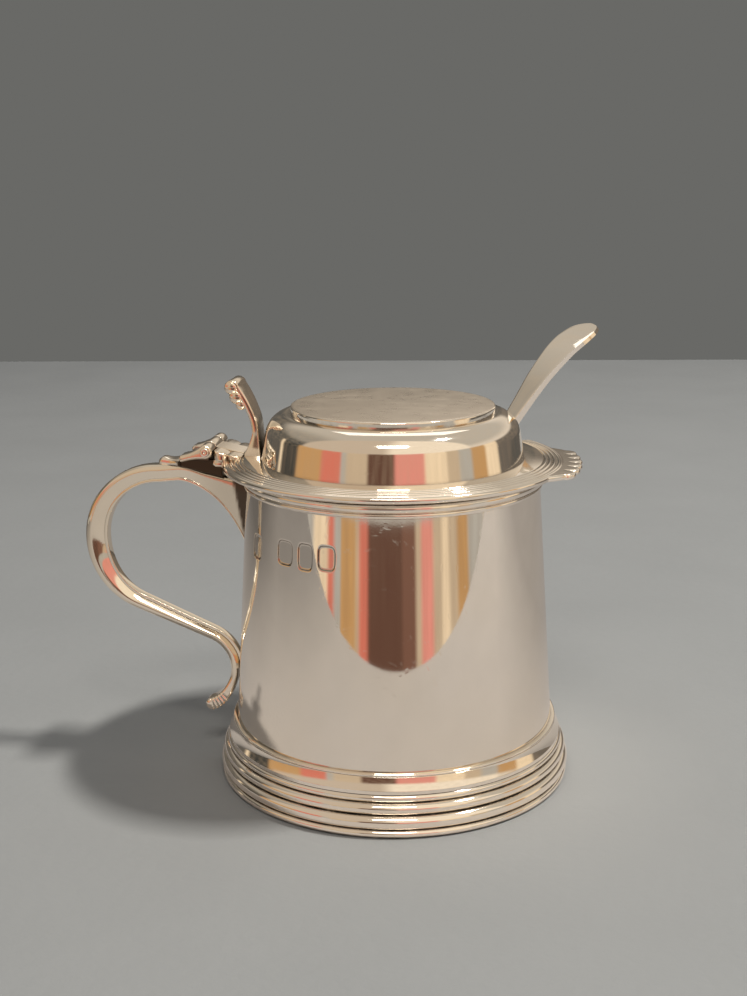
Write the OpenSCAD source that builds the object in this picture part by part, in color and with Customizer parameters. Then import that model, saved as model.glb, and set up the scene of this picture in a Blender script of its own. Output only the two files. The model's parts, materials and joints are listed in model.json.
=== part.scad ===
// Mustard pot in the form of a small lidded tankard, with liner and spoon. Millimetres, +Z up.
// The pot's axis is Z and the table is z = 0. The handle points to -X, the lid's peak to +X.

/* [Drum] */
// Height of the mouth above the table
mouth_height = 52.7; // [46:0.1:62]
// Outside radius of the drum at the mouth
mouth_radius = 24.3; // [21:0.1:28]
// How much wider the drum's radius is at the table
drum_spread = 3.3; // [0.5:0.1:6]
// Thickness of the drum's sheet
drum_wall = 0.9; // [0.6:0.05:1.4]
// Thickness of the base plate
base_thickness = 1; // [0.6:0.1:2]
// Recess under the base plate
base_lift = 0.6; // [0.2:0.1:1]

/* [Foot] */
// How far the foot's widest reed stands out from the drum's radius at the table
foot_spread = 2.4; // [2:0.1:4]
// Radius of the lowest reed
foot_reed_1 = 0.65; // [0.5:0.05:0.9]
// Radius of the widest reed
foot_reed_2 = 1.18; // [0.8:0.02:1.4]
// Radius of the third reed
foot_reed_3 = 0.94; // [0.7:0.02:1.2]
// Radius of the top reed
foot_reed_4 = 0.63; // [0.5:0.01:0.8]
// Step in of the lowest reed
foot_inset_1 = 0.15; // [0:0.05:0.4]
// Step in of the third reed
foot_inset_3 = 0.46; // [0.2:0.02:0.7]
// Step in of the top reed
foot_inset_4 = 1.16; // [0.8:0.02:1.4]
// Step in of the fillet above the reeds
foot_inset_fillet = 1.5; // [1.2:0.05:1.7]
// Height of the fillet above the reeds
foot_fillet_height = 0.6; // [0.3:0.1:1]
// Radius of the broad band's rounding
foot_band_radius = 3.8; // [3:0.1:5]
// Height of the broad band
foot_band_height = 2; // [1.4:0.1:2.6]
// Radius of the bead on top of the foot
foot_bead = 0.24; // [0.15:0.01:0.4]

/* [Mouth] */
// Radius of the lower reed round the mouth
mouth_reed_1 = 0.42; // [0.3:0.02:0.6]
// Radius of the upper reed round the mouth
mouth_reed_2 = 0.75; // [0.5:0.05:0.9]
// Plain height of the wire above its reeds
mouth_fillet = 0.35; // [0.2:0.05:0.8]
// How far the mouth wire's plain part stands out from the drum
mouth_wire_step = 0.5; // [0.3:0.05:0.8]

/* [Handle] */
// Reach of the handle from the pot's axis
handle_reach = 53.9; // [50:0.1:58]
// Drop of the handle's top below the mouth
handle_drop = 0.15; // [0.05:0.05:0.6]
// How much lower the loop's top is than the handle's top
handle_fall = 0.4; // [0:0.1:1]
// Outside radius of the handle's round loop
handle_loop_radius = 13.4; // [11:0.1:15]
// Depth of the handle at its top
handle_depth_top = 2.9; // [2.4:0.1:4]
// Depth of the handle at its outermost point
handle_depth_side = 4; // [2.8:0.1:5]
// Rise of the arch under the upper joint
handle_root_rise = 9.6; // [7:0.1:11]
// Run of the arch under the upper joint
handle_root_run = 12; // [9:0.1:13]
// Height of the lower turn's centre as a share of the loop's centre's height
handle_turn_share = 0.413; // [0.38:0.001:0.46]
// Outside radius of the lower turn
handle_turn_radius = 5.7; // [4.5:0.1:7]
// Depth of the handle at its lower turn
handle_depth_turn = 3; // [2.6:0.1:3.5]
// Width of the handle at its top
handle_width_top = 3.6; // [3.2:0.1:5]
// Width of the handle at its lower joint
handle_width_turn = 2.8; // [2.6:0.1:4]
// Rounding of the shell's outer edges at its top
handle_round_top = 1; // [0.8:0.05:1.2]
// Rounding of the shell's outer edges at its lower joint
handle_round_turn = 1.1; // [0.8:0.05:1.2]
// Sheet of the handle's shell
handle_wall = 0.6; // [0.4:0.05:0.7]
// Sheet of the handle's inner strip
handle_strip_sheet = 0.6; // [0.4:0.05:0.9]
// How far the strip's edge stands out beyond the shell
handle_strip_lip = 0.1; // [0.05:0.05:0.4]
// Depth of the tail
tail_depth = 1.7; // [1.4:0.1:1.9]
// Angle that the tail runs round below the level of the lower turn's centre
tail_sweep = 75; // [50:1:85]
// Ribs across the end of the tail
tail_ribs = 4; // [2:1:6]
// Radius of the grooves between the ribs
tail_groove = 0.28; // [0.15:0.01:0.4]

/* [Hinge] */
// Distance of the hinge axis outside the flange's edge
hinge_out = 2.3; // [2.1:0.1:4]
// Height of the hinge axis above the mouth
hinge_rise = 2.8; // [2.6:0.1:4]
// Outside radius of lugs and knuckle
knuckle_radius = 1.5; // [1.3:0.05:1.7]
// Radius of the hinge pin
pin_radius = 0.75; // [0.5:0.05:0.9]
// Radial play of the knuckle on the pin
pin_play = 0.04; // [0.02:0.01:0.08]
// Length of the whole hinge
hinge_length = 11.6; // [9:0.1:14]
// Length of the lid's knuckle
knuckle_length = 4.6; // [3.5:0.1:5.5]
// End play between knuckle and lugs
knuckle_play = 0.15; // [0.1:0.05:0.4]
// Room under and beside the moving leaf
leaf_room = 0.25; // [0.2:0.05:0.4]
// Depth of the bearer's seat in the handle's top
bearer_seat = 0.2; // [0.1:0.05:0.3]
// Length of the bearer's block behind the hinge axis
bearer_length = 5.4; // [4:0.1:7]
// Width of the bearer's block
bearer_width = 6.2; // [5.8:0.1:8]
// Length of the tongue on the handle's top
tongue_length = 4.2; // [2:0.1:5]
// Thickness of the tongue
tongue_thickness = 0.8; // [0.4:0.1:1.2]
// Radius of the tongue's round tip
tongue_tip = 1.1; // [0.8:0.1:1.6]
// Thickness of the lid's leaf
leaf_thickness = 1; // [0.7:0.1:1.3]
// Width of the lid's leaf
leaf_width = 11; // [8:0.5:13]

/* [Lid] */
// Gap between mouth and lid
lid_gap = 0.05; // [0.02:0.01:0.1]
// How far the flange reaches beyond the drum's mouth radius
flange_reach = 4.1; // [3.2:0.1:6]
// Thickness of the flange at the dome
flange_thickness = 1.75; // [1.6:0.05:2.4]
// Radius of the flange's rounded edge
flange_edge = 0.55; // [0.4:0.05:0.7]
// Rise of the flange's underside from the mouth to its edge
flange_lift = 0.35; // [0.2:0.05:0.6]
// Number of fine reeds on the flange
flange_reeds = 4; // [2:1:5]
// Half the spacing of the fine reeds
flange_reed = 0.36; // [0.25:0.01:0.45]
// How much of their spacing neighbouring reeds share
reed_overlap = 0.06; // [0.03:0.01:0.12]
// Step from the drum's inside at the mouth in to the dome
dome_step = 1.6; // [1.2:0.1:3]
// How far the dome's wall leans in below its shoulder
dome_lean = 0.7; // [0.2:0.1:1.2]
// Height of the dome's wall
dome_wall_height = 3.8; // [2.5:0.1:6]
// Radius of the dome's shoulder
dome_shoulder = 3.75; // [2.5:0.05:4.5]
// Thickness of the dome's sheet
dome_sheet = 0.8; // [0.5:0.05:1.1]
// Step from the dome's wall in to the top plate
plate_step = 4.9; // [4.3:0.1:7]
// Thickness of the top plate
plate_thickness = 1.45; // [0.8:0.05:2.5]
// Rounding of the top plate's edge
plate_round = 0.3; // [0.1:0.05:0.5]
// Radial room between bezel and drum
bezel_room = 0.35; // [0.25:0.05:0.6]
// Thickness of the bezel
bezel_sheet = 0.8; // [0.5:0.05:1]
// How far the bezel enters the mouth
bezel_depth = 2.2; // [1.2:0.1:3]
// How far the peak's tips stand out beyond the flange's edge
peak_reach = 2.9; // [1.8:0.1:4]
// Number of lobes on the peak
peak_lobes = 6; // [4:1:8]
// Angle between neighbouring lobes
peak_pitch = 6; // [5:0.1:7]
// Radius of one lobe
peak_lobe = 1.65; // [1.4:0.05:1.9]
// Thickness of the peak
peak_thickness = 0.95; // [0.6:0.05:1.1]
// Radius of the flutes between the lobes
peak_flute = 0.3; // [0.15:0.05:0.4]

/* [Thumbpiece] */
// Width of the thumbpiece's strap
thumb_width = 5; // [4:0.1:7]
// Thickness of the thumbpiece at its foot
thumb_foot = 3; // [2.2:0.1:3.4]
// Thickness of the thumbpiece at its waist
thumb_waist = 1; // [0.8:0.05:1.5]
// Height of the scroll's centre above the flange
thumb_height = 10.8; // [9:0.1:13]
// How far the scroll's centre lies outside the foot's centre
thumb_lean = 2.6; // [1.5:0.1:3.5]
// Radius of the scroll
thumb_scroll = 2; // [1.5:0.1:2.3]
// Length of the scroll
thumb_scroll_length = 5.8; // [5:0.1:8]
// Radius of the boss on each end of the scroll
thumb_boss = 0.9; // [0.5:0.1:1.2]
// How far the bosses stand out
thumb_boss_reach = 0.5; // [0.2:0.1:0.8]

/* [Liner] */
// Radial room between the liner and the drum's mouth
liner_room = 0.6; // [0.4:0.05:1.2]
// Thickness of the liner's wall
liner_wall = 1.5; // [1.1:0.1:2]
// Thickness of the liner's floor
liner_floor = 2.6; // [2:0.1:4]
// Rounding inside the liner's floor
liner_fillet = 2.5; // [1.5:0.1:4]
// Rounding outside the liner's floor
liner_heel = 1.2; // [0.6:0.1:1.8]
// Room between the liner's rim and the lid's bezel
liner_headroom = 1; // [0.4:0.1:4]
// Gap under the loose liner
liner_gap = 0.05; // [0.02:0.01:0.2]

/* [Spoon] */
// Direction in which the spoon leans, from the peak
spoon_azimuth = 44.5; // [35:0.5:60]
// Gap between the resting spoon and what it leans on
spoon_gap = 0.25; // [0.2:0.05:0.4]
// Length of the spoon's handle above the mouth
spoon_out = 29.7; // [24:0.1:40]
// Width of the stem where it passes the mouth
stem_width = 2.8; // [2.2:0.1:3.4]
// Thickness of the stem
stem_thickness = 1.7; // [1.2:0.1:2]
// Greatest width of the handle
spoon_end_width = 7.2; // [5:0.1:9]
// How far the handle's end bends down
spoon_bend = 4.1; // [2:0.1:8]
// Length of the bowl
bowl_length = 20; // [16:0.5:24]
// Width of the bowl
bowl_width = 12.6; // [9:0.1:14]
// Depth of the bowl's dish
bowl_dish = 3; // [1.5:0.1:4]
// Thickness of the bowl
bowl_sheet = 0.9; // [0.7:0.05:1.2]
// Offset of the bowl below the stem's line
spoon_crank = 0.4; // [0:0.1:2]
// Width of the slot in the lid
slot_width = 6; // [5.2:0.1:8]

/* [Hidden] */
$fn = 96;

// Drum
function drum_r(z) = mouth_radius + drum_spread * (1 - z / mouth_height);
function drum_in(z) = drum_r(z) - drum_wall;
drum_bottom = base_lift + base_thickness;
mouth_in = drum_in(mouth_height);

// Heights of the foot's members, from the table up
foot_z1 = foot_reed_1 * 2;
foot_z2 = foot_z1 + foot_reed_2 * 2;
foot_z3 = foot_z2 + foot_reed_3 * 2;
foot_z4 = foot_z3 + foot_reed_4 * 2;
foot_z5 = foot_z4 + foot_fillet_height;
foot_z6 = foot_z5 + foot_band_height;
foot_top = foot_z6 + foot_bead * 2;
foot_r = drum_r(0) + foot_spread;

// Heights of the mouth wire's members
wire_z3 = mouth_height - mouth_fillet;
wire_z2 = wire_z3 - mouth_reed_2 * 2;
wire_bottom = wire_z2 - mouth_reed_1 * 2;
wire_r = drum_r(wire_z2 + mouth_reed_2) + mouth_wire_step * 2;

// Lid
lid_z = mouth_height + lid_gap;
flange_top = lid_z + flange_thickness;
flange_r = mouth_radius + flange_reach;
edge_z = lid_z + flange_lift;
edge_top = edge_z + flange_edge * 2;
flange_flat_r = flange_r - flange_edge - flange_reeds * flange_reed * 2;
dome_r = mouth_in - dome_step;
dome_in = dome_r - dome_sheet;
dome_shoulder_z = flange_top + dome_wall_height;
dome_shoulder_r = dome_r - dome_lean - dome_shoulder;
dome_top = dome_shoulder_z + dome_shoulder;
plate_r = dome_r - plate_step;
bezel_r = mouth_in - bezel_room;
bezel_bottom = lid_z - bezel_depth;

// Hinge
hinge_x = -(flange_r + hinge_out);
hinge_z = mouth_height + hinge_rise;
handle_top = mouth_height - handle_drop;
seat_z = handle_top - bearer_seat;
knuckle_half = knuckle_length / 2;
lug_inner = knuckle_half + knuckle_play;
block_top = hinge_z - knuckle_radius - leaf_room;
block_front = hinge_x + knuckle_radius - leaf_room;
block_back = hinge_x - bearer_length;
leaf_z = hinge_z - knuckle_radius - leaf_room / 2;
leaf_back = hinge_x + knuckle_radius + leaf_room;
leaf_front = -(dome_r + thumb_foot);
lug_length = hinge_length / 2 - lug_inner;
lug_tail = 0.6;
lug_tail_out = bearer_length - knuckle_radius;
cheek_length = bearer_width / 2 - lug_inner;

// Liner
liner_r = mouth_in - liner_room;
liner_in = liner_r - liner_wall;
liner_bottom = drum_bottom + liner_gap;
liner_floor_z = liner_bottom + liner_floor;
liner_top = bezel_bottom - liner_headroom;

// Spoon: its stem lies on the mouth's inner edge and its tip in the corner of the liner's floor
stem_rest = stem_thickness / 2 + spoon_gap;
tip_r = -(liner_in - liner_fillet / 2 - spoon_gap);
tip_z = liner_floor_z + bowl_sheet + spoon_gap;
rest_run = mouth_in - tip_r;
rest_rise = mouth_height - tip_z;
rest_length = norm([rest_run, rest_rise]);
spoon_lean = atan2(rest_rise, rest_run) - asin((spoon_crank - stem_rest) / rest_length);
spoon_in = sqrt(rest_length ^ 2 - (spoon_crank - stem_rest) ^ 2);
stem_r = mouth_in - stem_rest * sin(spoon_lean);
stem_z = mouth_height + stem_rest * cos(spoon_lean);

// Curves through a list of rows, each row a list of numbers
function knot(rows, i) = rows[max(0, min(len(rows) - 1, i))];
function blend(a, b, c, d, t) =
    0.5 * (2 * b + (c - a) * t + (2 * a - 5 * b + 4 * c - d) * t ^ 2 + (3 * b - a - 3 * c + d) * t ^ 3);
function curve(rows, steps) = [
    for (i = [0 : len(rows) - 2])
    for (k = [0 : steps - (i == len(rows) - 2 ? 0 : 1)])
    blend(knot(rows, i - 1), rows[i], rows[i + 1], knot(rows, i + 2), k / steps)
];
function mix(a, b, t) = a + (b - a) * t;
function polar(c, r, a) = [c.x + r * cos(a), c.y + r * sin(a)];
function power(v, e) = sign(v) * abs(v) ^ e;

// One closed solid through equal rings of points, each ring two facing sides of as many points
module loft(rings) {
    n = len(rings[0]);
    m = len(rings);
    walls = [
        for (i = [0 : m - 2])
        for (j = [0 : n - 1])
        for (face = [
            [i * n + j, (i + 1) * n + (j + 1) % n, i * n + (j + 1) % n],
            [i * n + j, (i + 1) * n + j, (i + 1) * n + (j + 1) % n]
        ])
        face
    ];
    last = (m - 1) * n;
    caps = [
        for (k = [0 : n / 2 - 2])
        for (face = [
            [k, k + 1, n - 2 - k],
            [k, n - 2 - k, n - 1 - k],
            [last + n - 2 - k, last + k + 1, last + k],
            [last + n - 1 - k, last + n - 2 - k, last + k]
        ])
        face
    ];
    polyhedron([for (ring = rings) for (p = ring) p], concat(walls, caps));
}

// Handle: pairs of points on its outer and inner outline, from the upper joint to the lower one
handle_bury = 0.8;
root_bury = 0.15;
loop_top = handle_top - handle_fall;
loop_outer = [handle_loop_radius - handle_reach, loop_top - handle_loop_radius];
loop_inner_radius = handle_loop_radius - (handle_depth_top + handle_depth_side) / 2;
loop_inner = [
    loop_outer.x + (handle_depth_side - handle_depth_top) / 2,
    loop_top - handle_depth_top - loop_inner_radius
];
root_z = handle_top - handle_depth_top - handle_root_rise;
root_centre = [root_bury - drum_r(root_z) - handle_root_run, root_z];
root_power = 1.25;
function root_arch(a) =
    root_centre + [handle_root_run * power(cos(a), root_power), handle_root_rise * power(sin(a), root_power)];
handle_turn_height = handle_turn_share * loop_outer.y;
turn_inner_radius = handle_turn_radius + handle_depth_turn;
turn_centre = [handle_bury - drum_r(handle_turn_height) - turn_inner_radius, handle_turn_height];
loop_to_turn = turn_centre - loop_outer;
run_slope = atan2(loop_to_turn.y, loop_to_turn.x)
    + asin((handle_loop_radius + handle_turn_radius) / norm(loop_to_turn));
root_steps = 9;
loop_steps = 22;
turn_steps = 8;
turn_end = 2;
handle_pairs = concat(
    [
        for (i = [0 : root_steps])
        [
            [mix(handle_bury - mouth_radius, root_centre.x, i / root_steps), handle_top],
            root_arch(90 * i / root_steps)
        ]
    ],
    [
        for (i = [0 : loop_steps])
        let (a = mix(90, 270 + run_slope, i / loop_steps))
        [polar(loop_outer, handle_loop_radius, a), polar(loop_inner, loop_inner_radius, a)]
    ],
    [
        for (i = [0 : turn_steps])
        let (a = mix(90 + run_slope, turn_end, i / turn_steps))
        [polar(turn_centre, handle_turn_radius, a), polar(turn_centre, turn_inner_radius, a)]
    ]
);
handle_last = len(handle_pairs) - 1;
function handle_width(i) = mix(handle_width_top, handle_width_turn, i / handle_last);
function in_section(pair, u, v) =
    let (d = pair[0] - pair[1], p = pair[1] + d * v / norm(d)) [p.x, u, p.y];
round_steps = 5;
function shell_side(half, depth, round) = concat(
    [[half, 0]],
    [for (k = [0 : round_steps]) polar([half - round, depth - round], round, 90 * k / round_steps)]
);
function shell_arch(pair, side, flip) = concat(
    [for (p = side) in_section(pair, flip * p.x, handle_strip_sheet + p.y)],
    [for (k = [len(side) - 1 : -1 : 0]) in_section(pair, -flip * side[k].x, handle_strip_sheet + side[k].y)]
);
function shell_ring(i) =
    let (
        pair = handle_pairs[i],
        depth = norm(pair[0] - pair[1]) - handle_strip_sheet,
        half = handle_width(i) / 2,
        round = mix(handle_round_top, handle_round_turn, i / handle_last)
    )
    concat(
        shell_arch(pair, shell_side(half, depth, round), -1),
        shell_arch(pair, shell_side(half - handle_wall, depth - handle_wall, round - handle_wall), 1)
    );
function strip_ring(i) =
    let (pair = handle_pairs[i], half = handle_width(i) / 2 + handle_strip_lip)
    [
        in_section(pair, -half, 0),
        in_section(pair, -half, handle_strip_sheet),
        in_section(pair, half, handle_strip_sheet),
        in_section(pair, half, 0)
    ];

// What the handle is cut back to: the drum below the mouth wire, and the wire's own radius
module drum_trim() {
    cylinder(h = mouth_height, r1 = drum_r(0), r2 = mouth_radius);
    translate([0, 0, wire_bottom]) cylinder(h = mouth_height, r = wire_r);
}

// Profiles, turned about the pot's axis
module foot_profile() {
    reed_2_r = foot_r - foot_reed_2;
    reed_3_r = foot_r - foot_inset_3 - foot_reed_3;
    reed_4_r = foot_r - foot_inset_4 - foot_reed_4;
    fillet_r = foot_r - foot_inset_fillet;
    band_r = fillet_r - foot_band_radius;
    band_end = band_r + sqrt(foot_band_radius ^ 2 - foot_band_height ^ 2);
    polygon([
        [drum_r(0), 0],
        [foot_r - foot_inset_1 - foot_reed_1, 0],
        [reed_2_r, foot_z1],
        [reed_3_r, foot_z3],
        [reed_4_r, foot_z4],
        [band_end - foot_bead, foot_z6],
        [band_end - foot_bead, foot_top],
        [drum_r(foot_top), foot_top]
    ]);
    translate([foot_r - foot_inset_1 - foot_reed_1, foot_reed_1]) circle(foot_reed_1);
    translate([reed_2_r, foot_z1 + foot_reed_2]) circle(foot_reed_2);
    translate([reed_3_r, foot_z2 + foot_reed_3]) circle(foot_reed_3);
    translate([reed_4_r, foot_z3 + foot_reed_4]) circle(foot_reed_4);
    translate([drum_r(foot_z4), foot_z4]) square([fillet_r - drum_r(foot_z4), foot_fillet_height]);
    intersection() {
        translate([band_r, foot_z5]) circle(foot_band_radius);
        translate([drum_r(foot_z5), foot_z5]) square([foot_band_radius, foot_band_height]);
    }
    translate([band_end - foot_bead, foot_z6 + foot_bead]) circle(foot_bead);
}

module foot_slice(bottom, top) {
    rotate_extrude() {
        intersection() {
            foot_profile();
            translate([0, bottom]) square([foot_r * 2, top - bottom]);
        }
    }
}

module dome_profile(inset) {
    polygon([
        [0, flange_top],
        [dome_r - inset, flange_top],
        [dome_r - dome_lean - inset, dome_shoulder_z],
        [dome_shoulder_r, dome_shoulder_z],
        [dome_shoulder_r, dome_top - inset],
        [0, dome_top - inset]
    ]);
    intersection() {
        translate([dome_shoulder_r, dome_shoulder_z]) circle(dome_shoulder - inset);
        translate([0, dome_shoulder_z]) square([dome_r, dome_shoulder]);
    }
}

// The way that the spoon takes through the lid
module spoon_slot() {
    rotate([0, 0, spoon_azimuth]) {
        translate([dome_in - stem_thickness * 2, -slot_width / 2, bezel_bottom - bezel_depth]) {
            cube([flange_r, slot_width, flange_top - bezel_bottom + bezel_depth]);
        }
    }
}

module drum() {
    color("gainsboro") rotate_extrude() polygon([
        [drum_in(drum_bottom), drum_bottom],
        [drum_r(drum_bottom), drum_bottom],
        [mouth_radius, mouth_height],
        [mouth_in, mouth_height]
    ]);
}

module base_plate() {
    color("silver") translate([0, 0, base_lift]) cylinder(h = base_thickness, r = drum_r(drum_bottom));
}

module foot_ring() {
    color("lightgray") difference() {
        foot_slice(0, foot_z2);
        cylinder(h = drum_bottom, r = drum_r(drum_bottom));
        translate([0, 0, drum_bottom]) {
            cylinder(h = mouth_height - drum_bottom, r1 = drum_r(drum_bottom), r2 = mouth_radius);
        }
    }
}

module foot_moulding() {
    color("whitesmoke") difference() {
        foot_slice(foot_z2, foot_top);
        cylinder(h = mouth_height, r1 = drum_r(0), r2 = mouth_radius);
    }
}

module mouth_wire() {
    color("white") rotate_extrude() {
        difference() {
            union() {
                translate([mouth_in, wire_bottom]) {
                    square([drum_r(wire_bottom) - mouth_in + mouth_wire_step / 2, mouth_height - wire_bottom]);
                }
                translate([drum_r(wire_bottom), wire_bottom + mouth_reed_1]) circle(mouth_reed_1);
                translate([wire_r - mouth_reed_2, wire_z2 + mouth_reed_2]) circle(mouth_reed_2);
                translate([mouth_in, wire_z3]) {
                    square([mouth_radius - mouth_in + mouth_wire_step, mouth_fillet]);
                }
            }
            polygon([
                [0, 0],
                [drum_r(0), 0],
                [mouth_radius, mouth_height],
                [mouth_radius, mouth_height + mouth_fillet],
                [0, mouth_height + mouth_fillet]
            ]);
        }
    }
}

module handle_shell() {
    color("darkgray") difference() {
        loft([for (i = [0 : handle_last]) shell_ring(i)]);
        drum_trim();
        translate([block_back - tongue_length, -handle_width_top, seat_z]) {
            cube([tongue_length - block_back - wire_r, handle_width_top * 2, handle_depth_top]);
        }
    }
}

module handle_strip() {
    color("dimgray") difference() {
        loft([for (i = [0 : handle_last]) strip_ring(i)]);
        drum_trim();
    }
}

module handle_tail() {
    middle = handle_turn_radius + tail_depth / 2;
    outside = handle_turn_radius + tail_depth;
    tail_pitch = tail_groove * 4 / outside * 180 / PI;
    color("gray") translate([turn_centre.x, 0, turn_centre.y]) rotate([90, 0, 0]) {
        difference() {
            union() {
                rotate([0, 0, -tail_sweep]) rotate_extrude(angle = tail_sweep + turn_end) {
                    translate([handle_turn_radius, -handle_width_turn / 2]) {
                        square([tail_depth, handle_width_turn]);
                    }
                }
                rotate([0, 0, -tail_sweep]) translate([middle, 0, -handle_width_turn / 2]) {
                    cylinder(h = handle_width_turn, d = tail_depth);
                }
            }
            for (i = [1 : tail_ribs]) {
                rotate([0, 0, i * tail_pitch - tail_sweep]) {
                    translate([outside, 0, -handle_width_turn]) {
                        cylinder(h = handle_width_turn * 2, r = tail_groove);
                    }
                }
            }
        }
    }
}

module lug_outline() {
    hull() {
        circle(knuckle_radius);
        translate([-lug_tail_out, lug_tail / 2 - knuckle_radius]) circle(lug_tail);
    }
}

module lug(front) {
    translate([hinge_x, front, hinge_z]) rotate([90, 0, 0]) {
        linear_extrude(height = lug_length) lug_outline();
    }
}

module cheek(front) {
    translate([hinge_x - lug_tail_out, front - cheek_length, block_top]) {
        cube([lug_tail_out, cheek_length, hinge_z - block_top - lug_tail]);
    }
}

module hinge_bearer() {
    tip_x = block_back - tongue_length + tongue_tip;
    color("slategray") difference() {
        union() {
            translate([block_back, -bearer_width / 2, seat_z]) {
                cube([block_front - block_back, bearer_width, block_top - seat_z]);
            }
            translate([0, 0, seat_z]) linear_extrude(height = tongue_thickness) {
                polygon([
                    [block_back, bearer_width / 2],
                    [tip_x, tongue_tip],
                    [tip_x, -tongue_tip],
                    [block_back, -bearer_width / 2]
                ]);
                translate([tip_x, 0]) circle(tongue_tip);
            }
            lug(hinge_length / 2);
            lug(-lug_inner);
            cheek(lug_inner + cheek_length);
            cheek(-lug_inner);
        }
        translate([hinge_x, hinge_length, hinge_z]) rotate([90, 0, 0]) {
            cylinder(h = hinge_length * 2, r = pin_radius);
        }
    }
}

module hinge_pin() {
    color("dimgray") translate([hinge_x, hinge_length / 2, hinge_z]) rotate([90, 0, 0]) {
        cylinder(h = hinge_length, r = pin_radius);
    }
}

module flange_profile() {
    polygon([
        [dome_in, lid_z],
        [mouth_radius + mouth_wire_step, lid_z],
        [flange_r - flange_edge, edge_z],
        [flange_r - flange_edge, edge_top - flange_reed],
        [flange_flat_r, flange_top - flange_reed],
        [flange_flat_r, flange_top],
        [dome_in, flange_top]
    ]);
    translate([flange_r - flange_edge, edge_z + flange_edge]) circle(flange_edge);
    for (i = [0 : flange_reeds - 1]) {
        reed_z = mix(flange_top, edge_top, (i + 0.5) / flange_reeds) - flange_reed;
        translate([flange_flat_r + flange_reed * (i * 2 + 1), reed_z]) circle(flange_reed * (1 + reed_overlap));
    }
}

module peak_outline() {
    half = peak_pitch * (peak_lobes - 1) / 2;
    lobe_r = flange_r + peak_reach - peak_lobe;
    root_r = flange_r - flange_edge * 2;
    polygon(concat(
        [for (i = [0 : peak_lobes - 1]) polar([0, 0], lobe_r, peak_pitch * i - half)],
        [for (i = [peak_lobes - 1 : -1 : 0]) polar([0, 0], root_r, peak_pitch * i - half)]
    ));
    for (i = [0 : peak_lobes - 1]) {
        translate(polar([0, 0], lobe_r, peak_pitch * i - half)) circle(peak_lobe);
    }
}

module lid_flange() {
    half = peak_pitch * (peak_lobes - 2) / 2;
    peak_top = edge_z + flange_edge + peak_thickness / 2;
    color("gainsboro") difference() {
        union() {
            rotate_extrude() flange_profile();
            translate([0, 0, peak_top - peak_thickness]) {
                linear_extrude(height = peak_thickness) peak_outline();
            }
        }
        for (i = [0 : peak_lobes - 2]) {
            rotate([0, 0, peak_pitch * i - half]) translate([flange_r, 0, peak_top]) {
                rotate([0, 90, 0]) cylinder(h = peak_reach * 2, r = peak_flute);
            }
        }
        translate([-flange_r * 2, -leaf_width / 2, leaf_z]) {
            cube([flange_r * 2 + leaf_front, leaf_width, flange_thickness]);
        }
        spoon_slot();
    }
}

module lid_dome() {
    color("lightsteelblue") rotate_extrude() {
        difference() {
            dome_profile(0);
            dome_profile(dome_sheet);
        }
    }
}

module lid_top_plate() {
    color("white") translate([0, 0, dome_top]) rotate_extrude() {
        square([plate_r, plate_thickness - plate_round]);
        square([plate_r - plate_round, plate_thickness]);
        translate([plate_r - plate_round, plate_thickness - plate_round]) circle(plate_round);
    }
}

module lid_bezel() {
    color("darkgray") difference() {
        translate([0, 0, bezel_bottom]) cylinder(h = bezel_depth, r = bezel_r);
        translate([0, 0, bezel_bottom - bezel_depth]) {
            cylinder(h = bezel_depth * 3, r = bezel_r - bezel_sheet);
        }
        spoon_slot();
    }
}

module lid_leaf() {
    color("lightslategray") difference() {
        union() {
            translate([hinge_x, knuckle_half, hinge_z]) rotate([90, 0, 0]) {
                cylinder(h = knuckle_length, r = knuckle_radius);
            }
            translate([hinge_x + knuckle_radius / 2, -knuckle_half, leaf_z]) {
                cube([leaf_front - hinge_x - knuckle_radius / 2, knuckle_length, leaf_thickness]);
            }
            translate([leaf_back, -leaf_width / 2, leaf_z]) {
                cube([leaf_front - leaf_back, leaf_width, leaf_thickness]);
            }
        }
        translate([hinge_x, hinge_length, hinge_z]) rotate([90, 0, 0]) {
            cylinder(h = hinge_length * 2, r = pin_radius + pin_play);
        }
    }
}

// Thumbpiece: rows of place, height and thickness from its foot up to the side of its scroll
thumb_x = -(dome_r + thumb_foot / 2);
thumb_end = thumb_scroll - thumb_waist / 2 - thumb_lean;
thumb_rows = [
    [0, 0, thumb_foot],
    [0.1 * thumb_lean, 0.14 * thumb_height, mix(thumb_foot, thumb_waist, 0.6)],
    [0.18 * thumb_lean, 0.34 * thumb_height, thumb_waist],
    [0.08 * thumb_lean, 0.56 * thumb_height, thumb_waist],
    [mix(0.08 * thumb_lean, thumb_end, 0.45), 0.78 * thumb_height, thumb_waist],
    [thumb_end, thumb_height, thumb_waist]
];
thumb_path = curve(thumb_rows, 5);
function thumb_wide(i) = mix(thumb_width, thumb_scroll_length, (i / (len(thumb_path) - 1)) ^ 2);
thumb_steps = 20;
thumb_power = 0.35;
thumb_upright = 9;
function thumb_ring(i) =
    let (
        row = thumb_path[i],
        d = knot(thumb_path, i + 1) - knot(thumb_path, i - 1),
        tilt = d.x * min(1, i / thumb_upright),
        across = [-d.y, tilt] / norm([d.y, tilt])
    )
    [
        for (k = [0 : thumb_steps - 1])
        let (
            a = 360 * k / thumb_steps,
            u = thumb_wide(i) / 2 * power(cos(a), thumb_power),
            v = row.z / 2 * power(sin(a), thumb_power)
        )
        [row.x + across.x * v, u, row.y + across.y * v]
    ];

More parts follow.
